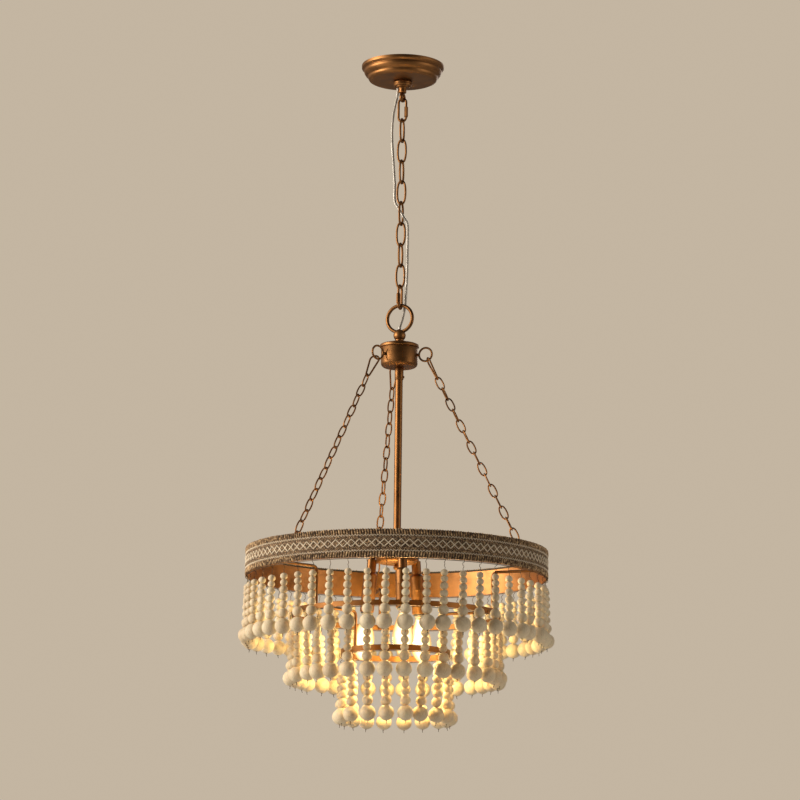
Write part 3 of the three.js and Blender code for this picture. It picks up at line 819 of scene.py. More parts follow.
def makeHub():
    size = hubSize
    centre = middleOf("hanging_ring")
    bend = (topOf("hanging_ring") - bottomOf("hanging_ring") - size["ringWire"]) / 2
    turned = hung(0, centre)
    path = roundPath(bend, size["ringSteps"])
    ring = Form().sweep(path, size["ringWire"] / 2, size["ringSides"], turned, closed=True)
    ring.piece("hangingRing", "hanging_ring", brown)

    foot = bottomOf("ring_boss")
    radius = size["ball"] / 2
    neck = size["neck"] / 2
    flange = size["flange"] / 2
    stud = size["stud"] / 2
    edge = size["flangeEdge"]
    flangeLow = foot + size["studLength"]
    shoulder = flangeLow + size["flangeHeight"]
    middle = flangeLow + size["ballHeight"] - radius
    last = math.pi - math.asin(neck / radius)
    profile = arc((0, middle), radius, radius, 0, last, size["ballSteps"])
    profile += [(neck, shoulder + edge), (neck + 1.2 * edge, shoulder), (flange - edge, shoulder)]
    profile += [(flange, shoulder - edge), (flange, flangeLow + 0.6 * edge)]
    profile += [(flange - 0.6 * edge, flangeLow), (stud, flangeLow), (stud, foot), (0, foot)]
    ball = Form().turn(profile, size["ballSegments"]).piece("hubBall", "ring_boss", lined)
    drill = Form().sweep(path, size["bore"], size["boreSides"], turned, closed=True)
    tool = newObject("boreTool", drill.mesh("boreTool", brown))
    cutting = ball.modifiers.new("bore", "BOOLEAN")
    cutting.object = tool
    cutting.solver = "EXACT"
    cut = evaluated(ball)
    ball.modifiers.clear()
    ball.data = cut
    bpy.data.objects.remove(tool)

    lower, upper = span("hub_cap")
    rim = upper.y
    half = (upper.z - lower.z) * 0.5
    flat = flange + size["capFlat"]
    edge = size["capEdge"]
    hole = size["capHole"]
    crown = [(hole, upper.z), *arc((flat, upper.z - half), rim - flat, half, 0, math.pi / 2, 12)]
    crown += [(rim, lower.z + edge), (rim - edge, lower.z), (hole, lower.z), (hole, upper.z)]
    Form().turn(crown, size["segments"]).piece("hubCap", "hub_cap", lined)

    lower, upper = span("hub_body")
    radius = upper.x
    drum = [(0, upper.z), (radius - size["drumTop"], upper.z), (radius, upper.z - size["drumEdge"])]
    drum += [*roundedFoot(radius, size["drumRounding"], lower.z), (size["drumHole"], lower.z), (0, lower.z)]
    Form().turn(drum, size["segments"]).piece("hubDrum", "hub_body", lined)


# Hub eyes, pear links and side chains, on three spokes
sideSize = {
    "azimuth": 99.5,
    "eyeReach": 0.0465,
    "eyeWire": 0.0034,
    "eyeDiameter": 0.026,
    "shank": 0.005,
    "shankDepth": 0.006,
    "pearLength": 0.044,
    "pearTop": 0.019,
    "pearBottom": 0.010,
    "pearWire": 0.003,
    "slack": 0.0002,
    "touch": 0.0001,
    "wire": 0.0026,
    "width": 0.0135,
    "count": 17,
    "twist": 28.0,
    "ringEyeBend": 0.0055,
    "ringEyeWire": 0.003,
    "ringEyeInset": 0.013,
    "ringEyeDrop": 0.022,
    "ringEyeSink": 0.001,
    "gap": 0.0003,
    "eyeSteps": 48,
    "eyeSides": 14,
    "shankSides": 20,
    "pearSteps": 12,
    "pearSides": 12,
    "steps": 8,
    "sides": 9,
    "ringEyeSteps": 32,
    "ringEyeSides": 12,
}
ringSize = {
    "wall": 0.002,
    "edge": 0.0004,
    "bracket": 0.005,
    "bend": 0.009,
    "foot": 0.004,
    "gap": 0.0003,
    "segments": 240,
    "bendSteps": 8,
    "sides": 14,
}


def innerOf(ring):
    return reachOf(ring) - ringSize["wall"]


def makeSideChains():
    size = sideSize
    eyeHeight = middleOf("hub_eye_1")
    bend = (size["eyeDiameter"] - size["eyeWire"]) / 2
    across = innerOf("top_ring") - size["ringEyeInset"] - size["ringEyeBend"] - size["eyeReach"]
    down = eyeHeight - (topOf("top_ring") - size["ringEyeDrop"])
    lean = math.atan2(across, down)
    reach = math.hypot(across, down) - bend
    pearTop = size["eyeWire"] / 2 + size["gap"] + size["slack"] + size["pearWire"]
    first = size["pearLength"] - pearTop - size["pearWire"] - size["gap"]
    last = reach + size["ringEyeWire"] / 2 + size["gap"]
    pitch = (last - first - size["touch"]) / size["count"]
    length = pitch + size["touch"] + 2 * size["wire"]
    tree = columnTree()
    path = bowedPath(length, size["width"], size["wire"], size["steps"])
    link = Form().sweep(path, size["wire"] / 2, size["sides"], closed=True)
    shape = newObject("linkShape", link.mesh("linkShape", brown))
    values = {"Count": size["count"], "Pitch": pitch, "Twist": math.radians(size["twist"])}
    values.update({"Link": shape, "Material": brown})
    pearWidths = (size["pearTop"], size["pearBottom"])
    pearPath = linkPath(size["pearLength"], *pearWidths, size["pearWire"], size["pearSteps"])
    eyePath = roundPath(bend, size["eyeSteps"])
    start = reachOf("hub_body") - size["shankDepth"]
    for k, spoke in threeSpokes(size["azimuth"]):
        stem = [(start, 0, eyeHeight), (size["eyeReach"] - bend, 0, eyeHeight)]
        eye = spoke @ Matrix.Translation((size["eyeReach"], 0, eyeHeight))
        form = Form().sweep(eyePath, size["eyeWire"] / 2, size["eyeSides"], eye, closed=True)
        form.sweep(stem, size["shank"] / 2, size["shankSides"], spoke)
        form.piece(f"hubEye{k}", f"hub_eye_{k}", brown)

        contact = (size["eyeReach"] + bend * math.sin(lean), 0, eyeHeight - bend * math.cos(lean))
        sloped = spoke @ Matrix.Translation(contact) @ Matrix.Rotation(-lean, 4, "Y")
        hanging = Matrix.Translation((0, 0, pearTop - size["pearLength"] / 2)) @ around(90 + size["twist"])
        form = Form().sweep(pearPath, size["pearWire"] / 2, size["pearSides"], sloped @ hanging, closed=True)
        form.piece(f"pearLink{k}", f"pear_link_{k}", brown)

        chain = tree.make(f"sideChain{k}", values)
        chain.transform(sloped @ Matrix.Translation((0, 0, -first - length / 2 + size["wire"])))
        chain.update()
        place(f"sideChain{k}", chain, f"side_chain_{k}")
    bpy.data.objects.remove(shape)


# A node tree that repeats a shape, with named inputs
class Repeat(Tree):
    def __init__(self, name, kinds):
        super().__init__(bpy.data.node_groups.new(name, "GeometryNodeTree"))
        sockets = self.tree.interface
        for way in ("INPUT", "OUTPUT"):
            sockets.new_socket("Geometry", in_out=way, socket_type="NodeSocketGeometry")
        self.identifiers = {}
        for label, kind in kinds.items():
            socket = sockets.new_socket(label, in_out="INPUT", socket_type=f"NodeSocket{kind}")
            self.identifiers[label] = socket.identifier
        self.given = self.add("NodeGroupInput")

    def vector(self, x=0.0, y=0.0, z=0.0):
        return self.add("ShaderNodeCombineXYZ", {"X": x, "Y": y, "Z": z})[0]

    def chance(self, first, last, offset=0.0, kind="FLOAT"):
        seed = self.plus(self.given["Seed"], offset)
        values = {"Min": first, "Max": last, "Seed": seed}
        return self.add("FunctionNodeRandomValue", values, data_type=kind)["Value"]

    # Points on a ring, lifted to a height, and the angle that each of them stands at
    def ringPoints(self, height):
        values = {"Vertices": self.given["Count"], "Radius": self.given["Radius"]}
        ring = self.add("GeometryNodeMeshCircle", values)[0]
        lifted = self.add("GeometryNodeSetPosition", {"Geometry": ring, "Offset": self.vector(z=height)})[0]
        spot = self.add("ShaderNodeSeparateXYZ", {0: self.add("GeometryNodeInputPosition")[0]})
        return lifted, self.math("ARCTAN2", spot["Y"], spot["X"])

    def copies(self, points, source, turn):
        shape = self.add("GeometryNodeObjectInfo", {"Object": source})["Geometry"]
        values = {"Points": points, "Instance": shape, "Rotation": turn}
        return self.add("GeometryNodeInstanceOnPoints", values)[0]

    def finish(self, geometry, material=None):
        result = self.add("GeometryNodeRealizeInstances", {0: geometry})[0]
        if material is not None:
            result = self.add("GeometryNodeSetMaterial", {"Geometry": result, "Material": material})[0]
        self.add("NodeGroupOutput", {0: result})
        return self

    def make(self, name, values):
        holder = newObject(name, bpy.data.meshes.new(name))
        modifier = holder.modifiers.new("repeat", "NODES")
        modifier.node_group = self.tree
        for label, value in values.items():
            modifier[self.identifiers[label]] = value
        made = evaluated(holder)
        made.name = name
        bpy.data.objects.remove(holder)
        return made


# A column of links, each a quarter turn from the one above, with a twist that dies away downward
def columnTree():
    kinds = {"Count": "Int", "Pitch": "Float", "Twist": "Float", "Link": "Object", "Material": "Material"}
    tree = Repeat("linkColumn", kinds)
    given = tree.given
    step = tree.vector(z=tree.times(given["Pitch"], -1.0))
    line = tree.add("GeometryNodeMeshLine", {"Count": given["Count"], "Offset": step})[0]
    index = tree.add("GeometryNodeInputIndex")[0]
    left = tree.math("SUBTRACT", 1.0, tree.math("DIVIDE", index, given["Count"]))
    turn = tree.plus(tree.times(index, math.pi / 2), tree.times(left, given["Twist"]))
    copies = tree.copies(line, given["Link"], tree.vector(z=turn))
    return tree.finish(copies, given["Material"])


# Centre rod, coupler with its set screw, and the turned cluster body with a finial under it
clusterSize = {
    "height": 0.034,
    "rounding": 0.007,
    "edge": 0.0015,
    "hole": 0.01311,
    "gap": 0.0002,
    "seatGap": 0.0003,
    "screwRadius": 0.002,
    "screwLength": 0.0019,
    "screwRise": 0.005,
    "screwSink": 0.0004,
    "couplerEdge": 0.0005,
    "knob": 0.011,
    "knobHeight": 0.0105,
    "rodSegments": 48,
    "couplerSegments": 64,
    "screwSegments": 20,
    "segments": 80,
}
knobShares = [
    (0.55, 0.0),
    (0.58, 0.22),
    (0.8, 0.34),
    (1.0, 0.46),
    (1.0, 0.7),
    (0.85, 0.9),
    (0.55, 1.0),
    (0.0, 1.0),
]


def makeCluster():
    size = clusterSize
    lower, upper = span("centre_rod")
    radius = (upper.x - lower.x) / 2
    rod = [(0, upper.z), (radius, upper.z), (radius, lower.z), (0, lower.z)]
    Form().turn(rod, size["rodSegments"]).piece("centreRod", "centre_rod", brown)

    lower, upper = span("rod_coupler")
    inner = radius + size["gap"]
    outer = upper.y
    edge = size["couplerEdge"]
    ring = [(inner, upper.z), (outer - 0.6 * edge, upper.z), (outer, upper.z - edge)]
    ring += [(outer, lower.z + 1.6 * edge), (outer - 1.2 * edge, lower.z)]
    ring += [(inner, lower.z), (inner, upper.z)]
    lying = Matrix.Translation((outer - size["screwSink"], 0, lower.z + size["screwRise"]))
    lying @= Matrix.Rotation(math.pi / 2, 4, "Y")
    wide = size["screwRadius"]
    tall = size["screwLength"]
    screw = [(0, 0), (wide, 0), (wide, tall - edge), (wide - edge, tall), (0, tall)]
    form = Form().turn(ring, size["couplerSegments"]).turn(screw, size["screwSegments"], lying)
    form.piece("rodCoupler", "rod_coupler", brown)

    top = topOf("cluster_body")
    radius = span("cluster_body")[1].y
    bottom = top - size["height"]
    edge = size["edge"]
    hole = size["hole"] / 2
    seat = bottomOf("centre_rod") - size["seatGap"]
    body = [(0, seat), (hole, seat), (hole, top), (radius - edge, top)]
    body += [(radius - edge * 0.3, top - edge * 0.3), (radius, top - edge)]
    body += roundedFoot(radius, size["rounding"], bottom)
    body += [(size["knob"] / 2 * r, bottom - size["knobHeight"] * z) for r, z in knobShares]
    Form().turn(body, size["segments"]).piece("clusterBody", "cluster_body", lined)


# Socket arms, cups, holders and bulbs on their leaning axes. Heights in the profiles are measured along
# the axis, from the point that reach and drop give
lampSize = {
    "azimuth": 42.0,
    "reach": 0.044,
    "drop": 0.0385,
    "armDrop": 0.0164,
    "armDepth": 0.0045,
    "armEnd": 0.0072,
    "lean": 5.5,
    "arm": 0.010,
    "bend": 0.007,
    "neck": 0.0155,
    "cup": 0.023,
    "wall": 0.0015,
    "holder": 0.019,
    "holderHole": 0.0072,
    "cap": 0.0136,
    "capTurns": 14,
    "capEnd": 0.0853,
    "glass": 0.035,
    "glassLength": 0.070,
    "glowHeight": 0.55,
    "glowPower": 1.5,
    "glowColour": (1.0, 0.75, 0.32),
    "glowSize": 0.02,
    "bendSteps": 12,
    "armSides": 24,
    "segments": 56,
    "holderSegments": 48,
    "capSegments": 36,
}
glassShares = [
    (0.39, 0.0),
    (0.42, 0.02),
    (0.50, 0.07),
    (0.66, 0.17),
    (0.83, 0.29),
    (0.95, 0.41),
    (1.0, 0.53),
    (0.975, 0.65),
    (0.88, 0.76),
    (0.72, 0.86),
    (0.50, 0.94),
    (0.27, 0.985),
    (0.0, 1.0),
]


def cupProfile():
    neck = lampSize["neck"] / 2
    outer = lampSize["cup"] / 2
    inner = outer - lampSize["wall"]
    cup = [(0, -0.0075), (0.0053, -0.0075), (0.0053, 0.013), (neck - 0.0006, 0.013), (neck, 0.0122)]
    cup += [(neck, -0.0086), (neck + 0.0006, -0.0094), (outer - 0.0012, -0.0114), (outer, -0.013)]
    cup += [(outer, -0.0335), (outer + 0.0002, -0.034), (outer + 0.0002, -0.0365), (outer, -0.037)]
    cup += [(outer, -0.0735), (outer - 0.0005, -0.075), (inner, -0.075), (inner, -0.0138), (0, -0.0133)]
    return eased(cup, 0.0004, 2)


def holderProfile():
    outer = lampSize["holder"] / 2
    hole = lampSize["holderHole"]
    holder = [(0, -0.0148), (outer, -0.0148), (outer, -0.0774), (outer - 0.0008, -0.078), (hole, -0.078)]
    return [*holder, (hole, -0.0522), (0, -0.0522)]


def screwCapProfile():
    cap = lampSize["cap"] / 2
    end = lampSize["capEnd"]
    turns = lampSize["capTurns"]
    profile = [(0, -0.0524), (cap * 0.5, -0.0524), (cap * 0.62, -0.055)]
    for n in range(turns + 1):
        profile.append((cap * (0.94 if n % 2 else 1.0), -0.056 - (end - 0.0575) * n / turns))
    profile.append((cap * 0.9, -end - 0.0005))
    return eased(profile, 0.0005, 2)


def makeLamps():
    size = lampSize
    top = topOf("cluster_body")
    socketHeight = top - size["drop"]
    armHeight = top - size["armDrop"]
    lean = math.radians(size["lean"])
    socket = Vector((size["reach"], 0, socketHeight))
    slope = Vector((math.sin(lean), 0, -math.cos(lean)))
    knee = socket + slope * ((armHeight - socketHeight) / slope.z)
    start = Vector((span("cluster_body")[1].y - size["armDepth"], 0, armHeight))
    armEnd = socket + slope * size["armEnd"]
    armPath = eased([start, knee, armEnd], size["bend"], size["bendSteps"], 1.0)
    end = size["capEnd"]
    outline = [(size["glass"] / 2 * r, -end - size["glassLength"] * z) for r, z in glassShares]
    for k, spoke in threeSpokes(size["azimuth"]):
        axis = spoke @ Matrix.Translation((size["reach"], 0, socketHeight)) @ Matrix.Rotation(-lean, 4, "Y")
        arm = Form().sweep(armPath, size["arm"] / 2, size["armSides"], spoke)
        arm.piece(f"socketArm{k}", f"socket_arm_{k}", brown)
        cup = Form().turn(cupProfile(), size["segments"], axis)
        cup.piece(f"socketCup{k}", f"socket_cup_{k}", lined)
        holder = Form().turn(holderProfile(), size["holderSegments"], axis)
        holder.piece(f"lampHolder{k}", f"lamp_holder_{k}", black)
        form = Form().turn(screwCapProfile(), size["capSegments"], axis, slot=1)
        form.turn(outline, size["segments"], axis)
        bulb = form.piece(f"candleBulb{k}", f"bulb_{k}", glass, steel, sharp=60)
        bulb.visible_shadow = False
        glow = bpy.data.lights.new(f"glow{k}", "POINT")
        glow.energy = size["glowPower"]
        glow.color = size["glowColour"]
        glow.shadow_soft_size = size["glowSize"]
        source = newObject(f"glow{k}", glow)
        source.location = axis @ Vector((0, 0, -end - size["glassLength"] * size["glowHeight"]))
        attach(source, bodyOf[f"bulb_{k}"])


# Rings, with the top ring's three welded eyes, and bent brackets between them
ringFinish = {"top": copper, "middle": brown, "bottom": brown}


def bandProfile(inner, outer, bottom, top, edge):
    profile = [(inner + edge, bottom), (outer - edge, bottom), (outer, bottom + edge), (outer, top - edge)]
    profile += [(outer - edge, top), (inner + edge, top), (inner, top - edge), (inner, bottom + edge)]
    return [*profile, profile[0]]


def makeRings():
    spokes = threeSpokes(sideSize["azimuth"])
    eyeBend = sideSize["ringEyeBend"]
    eyeWire = sideSize["ringEyeWire"] / 2
    eyePath = roundPath(eyeBend, sideSize["ringEyeSteps"])
    sides = sideSize["ringEyeSides"]
    inner = innerOf("top_ring")
    eyeRadius = inner - sideSize["ringEyeInset"]
    height = topOf("top_ring") - sideSize["ringEyeDrop"]
    stem = [(eyeRadius + eyeBend, 0, height), (inner + sideSize["ringEyeSink"], 0, height)]
    for prefix, finish in ringFinish.items():
        node = f"{prefix}_ring"
        profile = bandProfile(innerOf(node), reachOf(node), bottomOf(node), topOf(node), ringSize["edge"])
        form = Form().turn(profile, ringSize["segments"])
        eyeSpokes = spokes if prefix == "top" else []
        for k, spoke in eyeSpokes:
            eye = spoke @ Matrix.Translation((eyeRadius, 0, height)) @ Matrix.Rotation(math.pi / 2, 4, "X")
            form.sweep(eyePath, eyeWire, sides, eye, closed=True).sweep(stem, eyeWire, sides, spoke)
        form.piece(f"{prefix}Ring", node, finish)

    half = ringSize["bracket"] / 2
    upperLeg = innerOf("middle_ring") - ringSize["gap"] - half
    lowerLeg = innerOf("bottom_ring") - ringSize["gap"] - half
    rows = (
        ("upper", inner, bottomOf("top_ring") + ringSize["foot"], upperLeg, bottomOf("middle_ring")),
        ("lower", upperLeg - half, middleOf("middle_ring"), lowerLeg, bottomOf("bottom_ring")),
    )
    for prefix, begin, level, leg, end in rows:
        corners = [(begin, 0, level), (leg, 0, level), (leg, 0, end)]
        path = eased(corners, ringSize["bend"], ringSize["bendSteps"], 1.0)
        for k, spoke in spokes:
            form = Form().sweep(path, half, ringSize["sides"], spoke)
            form.piece(f"{prefix}Bracket{k}", f"{prefix}_bracket_{k}", brown)


# Woven trim: a knit ground, cream crossing threads that make diamonds, and whipped edges
trimSize = {
    "edge": 0.0082,
    "ground": 0.0011,
    "groundEdge": 0.0005,
    "segments": 360,
    "diamondReach": 0.0061,
    "diamondCount": 118,
    "diamondSteps": 16,
    "weave": 0.0004,
    "thread": 0.0008,
    "line": 0.00055,
    "lineCount": 300,
    "lineReach": 0.0013,
    "lineInset": 0.0016,
    "stitchPitch": 0.0044,
    "stitchWidth": 0.00145,
    "stitchSlant": 0.16,
    "stitchWobble": 0.0004,
    "threadSides": 6,
    "lineSides": 5,
    "stitchSides": 6,
    "seed": 7,
}
# Half of a stitch: its depth, and its height as a share of half the edge
stitchShares = [(-0.0006, 1), (0.0001, 0.9), (0.0004, 0.4)]


def stitchBands(top, bottom, radius):
    kinds = {"Count": "Int", "Radius": "Float", "Height": "Float", "Slant": "Float", "Seed": "Int"}
    tree = Repeat("whippedEdge", {**kinds, "Stitch": "Object", "Material": "Material"})
    given = tree.given
    wobble = trimSize["stitchWobble"]
    points, turn = tree.ringPoints(tree.plus(given["Height"], tree.chance(-wobble, wobble)))
    slant = tree.times(given["Slant"], tree.chance(0.6, 1.4))
    copies = tree.copies(points, given["Stitch"], tree.vector(x=slant, z=turn))
    tree.finish(copies, given["Material"])

    half = trimSize["edge"] / 2
    path = [(x, 0, -half * share) for x, share in stitchShares]
    path += [(x, 0, half * share) for x, share in reversed(stitchShares)]
    form = Form().sweep(path, trimSize["stitchWidth"], trimSize["stitchSides"], flat=0.8)
    stitch = newObject("stitchShape", form.mesh("stitchShape", sandYarn, sharp=180))
    count = round(2 * math.pi * radius / trimSize["stitchPitch"])
    bands = []
    slope = trimSize["stitchSlant"]
    for offset, height, slant in ((1, top - half, slope), (2, bottom + half, -slope)):
        values = {"Count": count, "Radius": radius, "Height": height, "Slant": slant}
        values.update({"Seed": trimSize["seed"] + offset, "Stitch": stitch, "Material": sandYarn})
        bands.append(tree.make(f"stitches{offset}", values))
    bpy.data.objects.remove(stitch)
    return bands


def makeTrim():
    size = trimSize
    lower, upper = span("woven_trim")
    inner = reachOf("top_ring") + ringSize["gap"]
    ground = inner + size["ground"]
    edge = size["edge"]
    knit = knitGround(lower.z + edge, upper.z - edge)
    profile = bandProfile(inner, ground, lower.z, upper.z, size["groundEdge"])
    form = Form().turn(profile, size["segments"])
    middle = middleOf("woven_trim")
    steps = size["diamondSteps"]
    total = size["diamondCount"] // 2 * steps
    outward = Vector((1, 0, 0))
    for phase in (0, math.pi):
        path = []
        for k in range(total):
            cycle = 2 * math.pi * (k % steps) / steps + phase
            swing = 2 / math.pi * math.asin(max(-1.0, min(1.0, math.cos(cycle))))
            radius = ground + size["thread"] * 0.6 + size["weave"] * math.cos(2 * cycle)
            path.append(onCircle(radius, 2 * math.pi * k / total, middle + size["diamondReach"] * swing))
        form.sweep(path, size["thread"], size["threadSides"], closed=True, slot=1, start=outward)
    total = size["lineCount"] * 4
    inset = edge + size["lineInset"]
    radius = ground + size["line"] * 0.5
    for height in (upper.z - inset, lower.z + inset):
        path = []
        for k in range(total):
            wave = size["lineReach"] * (0, 1, 0, -1)[k % 4]
            path.append(onCircle(radius, 2 * math.pi * k / total, height + wave))
        form.sweep(path, size["line"], size["lineSides"], closed=True, slot=1, start=outward)
    data = form.mesh("wovenTrim", knit, creamYarn, sandYarn, sharp=60)
    joinMeshes(data, stitchBands(upper.z, lower.z, ground), 2)
    spots = [vertex.co for vertex in data.vertices]
    measures = {
        "bandUp": [spot.z for spot in spots],
        "bandAround": [math.atan2(spot.y, spot.x) * upper.x for spot in spots],
    }
    for name, values in measures.items():
        data.attributes.new(name, "FLOAT", "POINT").data.foreach_set("value", values)
    place("wovenTrim", data, "woven_trim")


# Strands of wooden beads on bent wire hooks. A bead's width is a share of its diameter, and its height is
# a share of its width
beadSize = {
    "diameters": (0.010, 0.010, 0.012, 0.012, 0.012, 0.016, 0.025),
    "widths": (1.19, 1.19, 1.12, 1.12, 1.12, 1.08, 1.035),
    "heights": (0.93, 0.93, 0.98, 0.98, 0.98, 0.98, 0.985),
    "hole": 0.0025,
    "ballHole": 0.0014,
    "wire": 0.00045,
    "firstCentre": 0.0215,
    "tail": 0.005,
    "variants": 6,
    "seed": 41,
    "tilt": 0.035,
    "spin": 8.0,
    "sway": 0.0016,
    "shift": 0.0004,
    "lean": 0.14,
    "uneven": 0.015,
    "hoopWire": 0.0006,
    "hoopDrop": 0.0012,
    "hoopSteps": 180,
    "hoopSides": 6,
    "wireSides": 5,
    "knotSides": 8,
    "rows": 7,
    "sides": 14,
    "ballRows": 12,
    "ballSides": 22,
}
knotProfile = [(0, 0.0009), (0.0009, 0.0005), (0.0011, 0), (0.0008, -0.0006), (0, -0.0009)]
tiers = (
    ("beadsTop", "top_ring", 50, 0.2465, ("strands_top_back", "strands_top_front")),
    ("beadsMiddle", "middle_ring", 34, 0.171, ("strands_middle",)),
    ("beadsBottom", "bottom_ring", 18, 0.089, ("strands_bottom",)),
)


def beadProfile(radius, hole, steps, height):
    rise = radius * height
    first = math.asin(hole / radius)
    curved = arc((0, 0), radius, rise, first, math.pi - first, steps)
    return [(hole * 0.6, rise * 0.93), *curved, (hole * 0.6, -rise * 0.93)]


def strandVariant(number):
    chance = random.Random(beadSize["seed"] + number)

    def wobble(reach, centre=0):
        return chance.uniform(centre - reach, centre + reach)

    centre = -beadSize["firstCentre"]
    sway = wobble(beadSize["sway"])
    diameters = beadSize["diameters"]
    top = centre + diameters[0] / 2
    hook = [
        (0.0024, 0.0006, 0.0035),
        (0.0030, 0.0004, -0.0006),
        (0.0016 + sway, 0, -0.0030),
        (-0.0010 + sway * 0.6, -0.0007, -0.0042 - chance.uniform(0, 0.001)),
        (-0.0014, 0.0004, top + 0.0088),
        (sway * 1.3, wobble(0.0008), top + 0.0062),
        (-sway * 0.8, 0.0003, top + 0.0030),
        (0, 0, top),
        (0, 0, top - 0.003),
    ]
    form = Form().sweep(smoothCurve(hook, 3), beadSize["wire"], beadSize["wireSides"], slot=1)
    for i, diameter in enumerate(diameters):
        if i:
            centre -= (diameters[i - 1] + diameter) / 2
        isBall = i == len(diameters) - 1
        kind = ("ballRows", "ballSides", "ballHole") if isBall else ("rows", "sides", "hole")
        rows, sides, hole = (beadSize[key] for key in kind)
        height = beadSize["heights"][i] * wobble(beadSize["uneven"], 1)
        shift = (wobble(beadSize["shift"]), wobble(beadSize["shift"]), centre)
        tilt = Euler((wobble(beadSize["lean"]), wobble(beadSize["lean"]), 0))
        turned = Matrix.Translation(shift) @ tilt.to_matrix().to_4x4()
        tone = chance.uniform(0.25, 0.85)
        wide = diameter / 2 * beadSize["widths"][i] * wobble(beadSize["uneven"], 1)
        form.turn(beadProfile(wide, hole, rows, height), sides, turned, 0, tone)
    bottom = centre - diameters[-1] / 2
    form.turn(knotProfile, beadSize["knotSides"], Matrix.Translation((0, 0, bottom - 0.0004)), slot=1)
    bend = wobble(0.0018)
    length = beadSize["tail"]
    tail = [(0, 0, bottom), (bend * 0.4, 0.0003, bottom - length * 0.5), (bend, -0.0004, bottom - length)]
    form.sweep(smoothCurve(tail, 3), beadSize["wire"], beadSize["wireSides"], slot=1)
    return form.mesh(f"strand{number}", wood, wire, sharp=50)


def strandTree():
    kinds = {"Count": "Int", "Radius": "Float", "Height": "Float", "Tilt": "Float", "Seed": "Int"}
    tree = Repeat("strandTier", {**kinds, "Strands": "Collection"})
    given = tree.given
    points, turn = tree.ringPoints(given["Height"])
    leans = [tree.times(given["Tilt"], tree.chance(-1.0, 1.0, float(offset))) for offset in range(3)]
    options = {"Separate Children": True, "Reset Children": True, "Collection": given["Strands"]}
    shapes = tree.add("GeometryNodeCollectionInfo", options)[0]
    choice = tree.chance(0, beadSize["variants"] - 1, kind="INT")
    spun = tree.plus(turn, tree.times(leans[2], beadSize["spin"]))
    values = {"Points": points, "Instance": shapes, "Rotation": tree.vector(leans[0], leans[1], spun)}
    values.update({"Pick Instance": True, "Instance Index": choice})
    copies = tree.add("GeometryNodeInstanceOnPoints", values)[0]
    stored = {"Geometry": copies, "Name": "strandTone", "Value": tree.chance(0.0, 1.0, 9.0)}
    toned = tree.add("GeometryNodeStoreNamedAttribute", stored, data_type="FLOAT", domain="INSTANCE")[0]
    return tree.finish(toned)


def makeStrands():
    store = bpy.data.collections.new("strandShapes")
    bpy.context.scene.collection.children.link(store)
    for number in range(beadSize["variants"]):
        store.objects.link(bpy.data.objects.new(f"strandShape{number}", strandVariant(number)))
    tree = strandTree()
    for offset, (name, ring, count, radius, nodes) in enumerate(tiers):
        height = bottomOf(ring)
        values = {"Count": count, "Radius": radius, "Height": height, "Tilt": beadSize["tilt"]}
        values.update({"Seed": beadSize["seed"] + 5 * offset, "Strands": store})
        data = tree.make(name, values)
        lifted = Matrix.Translation((0, 0, height - beadSize["hoopDrop"]))
        path = circle(radius, beadSize["hoopSteps"])
        wireRadius = beadSize["hoopWire"]
        hoop = Form()
        hoop.sweep(path, wireRadius, beadSize["hoopSides"], lifted, closed=True, start=Vector((0, 0, 1)))
        joinMeshes(data, [hoop.mesh("hoop", wire)], list(data.materials).index(wire))
        place(name, data, *nodes)
    for shape in list(store.objects):
        bpy.data.objects.remove(shape)
    bpy.data.collections.remove(store)


# The strap and the nipple are hidden in the canopy and keep their CAD shapes
def finishHidden():
    for node in ("mounting_strap", "threaded_nipple"):
        data = frame["nodes"][node].data
        data.materials.clear()
        data.materials.append(steel)


# Studio: pale surroundings, brightest at the left, then at the right and behind, a plain backdrop for
# the camera alone, and three soft lamps of which the left one is like a window
studio = {
    "surround": 0.62,
    "front": 0.07,
    "left": 0.80,
    "right": 0.38,
    "behind": 0.28,
    "sideStart": 0.3,
    "background": (0.55, 0.465, 0.36),
    "floor": (0.82, 0.80, 0.77),
    "floorSize": 30,
    "floorDrop": 2.6,
    "aim": (0, 0, -0.75),
}
skyTones = [
    (0.0, (0.42, 0.34, 0.27)),
    (0.45, (0.62, 0.55, 0.47)),
    (0.62, (0.9, 0.86, 0.8)),
    (1.0, (1.0, 0.98, 0.95)),
]
studioLamps = {
    "key": {"place": (-3.4, -0.75, 0.1), "size": 2.2, "power": 172, "colour": (1.0, 0.92, 0.82)},
    "fill": {"place": (3.2, -1.1, -0.5), "size": 1.8, "power": 24, "colour": (1.0, 0.92, 0.82)},
    "back": {"place": (0.8, 2.8, 0.7), "size": 1.6, "power": 14, "colour": (1.0, 0.95, 0.88)},
}


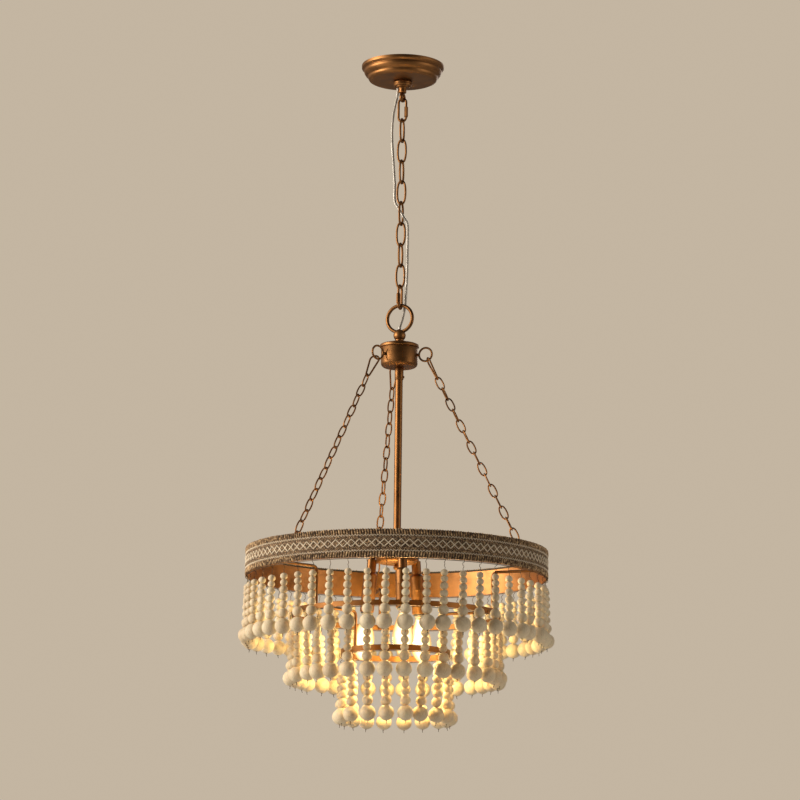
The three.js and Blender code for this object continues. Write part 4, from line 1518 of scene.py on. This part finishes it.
def makeSurroundings():
    world = bpy.data.worlds.new("studio")
    bpy.context.scene.world = world
    world.use_nodes = True
    world.node_tree.nodes.clear()
    tree = Tree(world.node_tree)
    toward = tree.add("ShaderNodeSeparateXYZ", {0: tree.add("ShaderNodeTexCoord")["Generated"]})
    sky = tree.ramp(tree.spread(toward["Z"], 0.0, 1.0, -1.0), skyTones)
    shares = (
        (tree.times(toward["X"], -1.0), studio["sideStart"], studio["front"], studio["left"]),
        (toward["X"], studio["sideStart"], 0.0, studio["right"]),
        (toward["Y"], 0.0, 0.0, studio["behind"]),
    )
    strength = 0.0
    for source, begin, first, last in shares:
        ends = (first * studio["surround"], last * studio["surround"])
        share = tree.spread(source, *ends, begin, interpolation_type="SMOOTHSTEP")
        strength = tree.plus(strength, share)
    soft = tree.add("ShaderNodeBackground", {"Color": sky, "Strength": strength})[0]
    seen = tree.add("ShaderNodeBackground", {"Color": studio["background"], "Strength": 1.0})[0]
    toCamera = tree.add("ShaderNodeLightPath")["Is Camera Ray"]
    mixed = tree.add("ShaderNodeMixShader", {"Fac": toCamera, 1: soft, 2: seen})[0]
    tree.add("ShaderNodeOutputWorld", {"Surface": mixed})
    bpy.context.scene.view_settings.view_transform = "Standard"


def makeStudio():
    makeSurroundings()
    bpy.ops.mesh.primitive_plane_add(size=studio["floorSize"], location=(0, 0, -studio["floorDrop"]))
    floor = bpy.context.object
    floor.name = "studioFloor"
    shader = Shader("studioFloor")
    roughness = shader.spread(shader.noise(3.0), 0.7, 0.9)
    floor.data.materials.append(shader.paint({"Base Color": studio["floor"], "Roughness": roughness}))
    floor.visible_camera = False
    for name, lamp in studioLamps.items():
        light = bpy.data.lights.new(name, "AREA")
        light.shape = "DISK"
        light.size = lamp["size"]
        light.energy = lamp["power"]
        light.color = lamp["colour"]
        source = newObject(name, light)
        source.location = lamp["place"]
        ahead = Vector(studio["aim"]) - Vector(lamp["place"])
        source.rotation_euler = ahead.to_track_quat("-Z", "Y").to_euler()


steps = (
    ("canopy", makeCanopy),
    ("loop", makeLoop),
    ("main chain", makeChain),
    ("hub", makeHub),
    ("side chains", makeSideChains),
    ("cluster", makeCluster),
    ("lamps", makeLamps),
    ("rings", makeRings),
    ("trim", makeTrim),
    ("strands", makeStrands),
    ("hidden pieces", finishHidden),
    ("studio", makeStudio),
)
for label, step in steps:
    step()
    print("made", label)
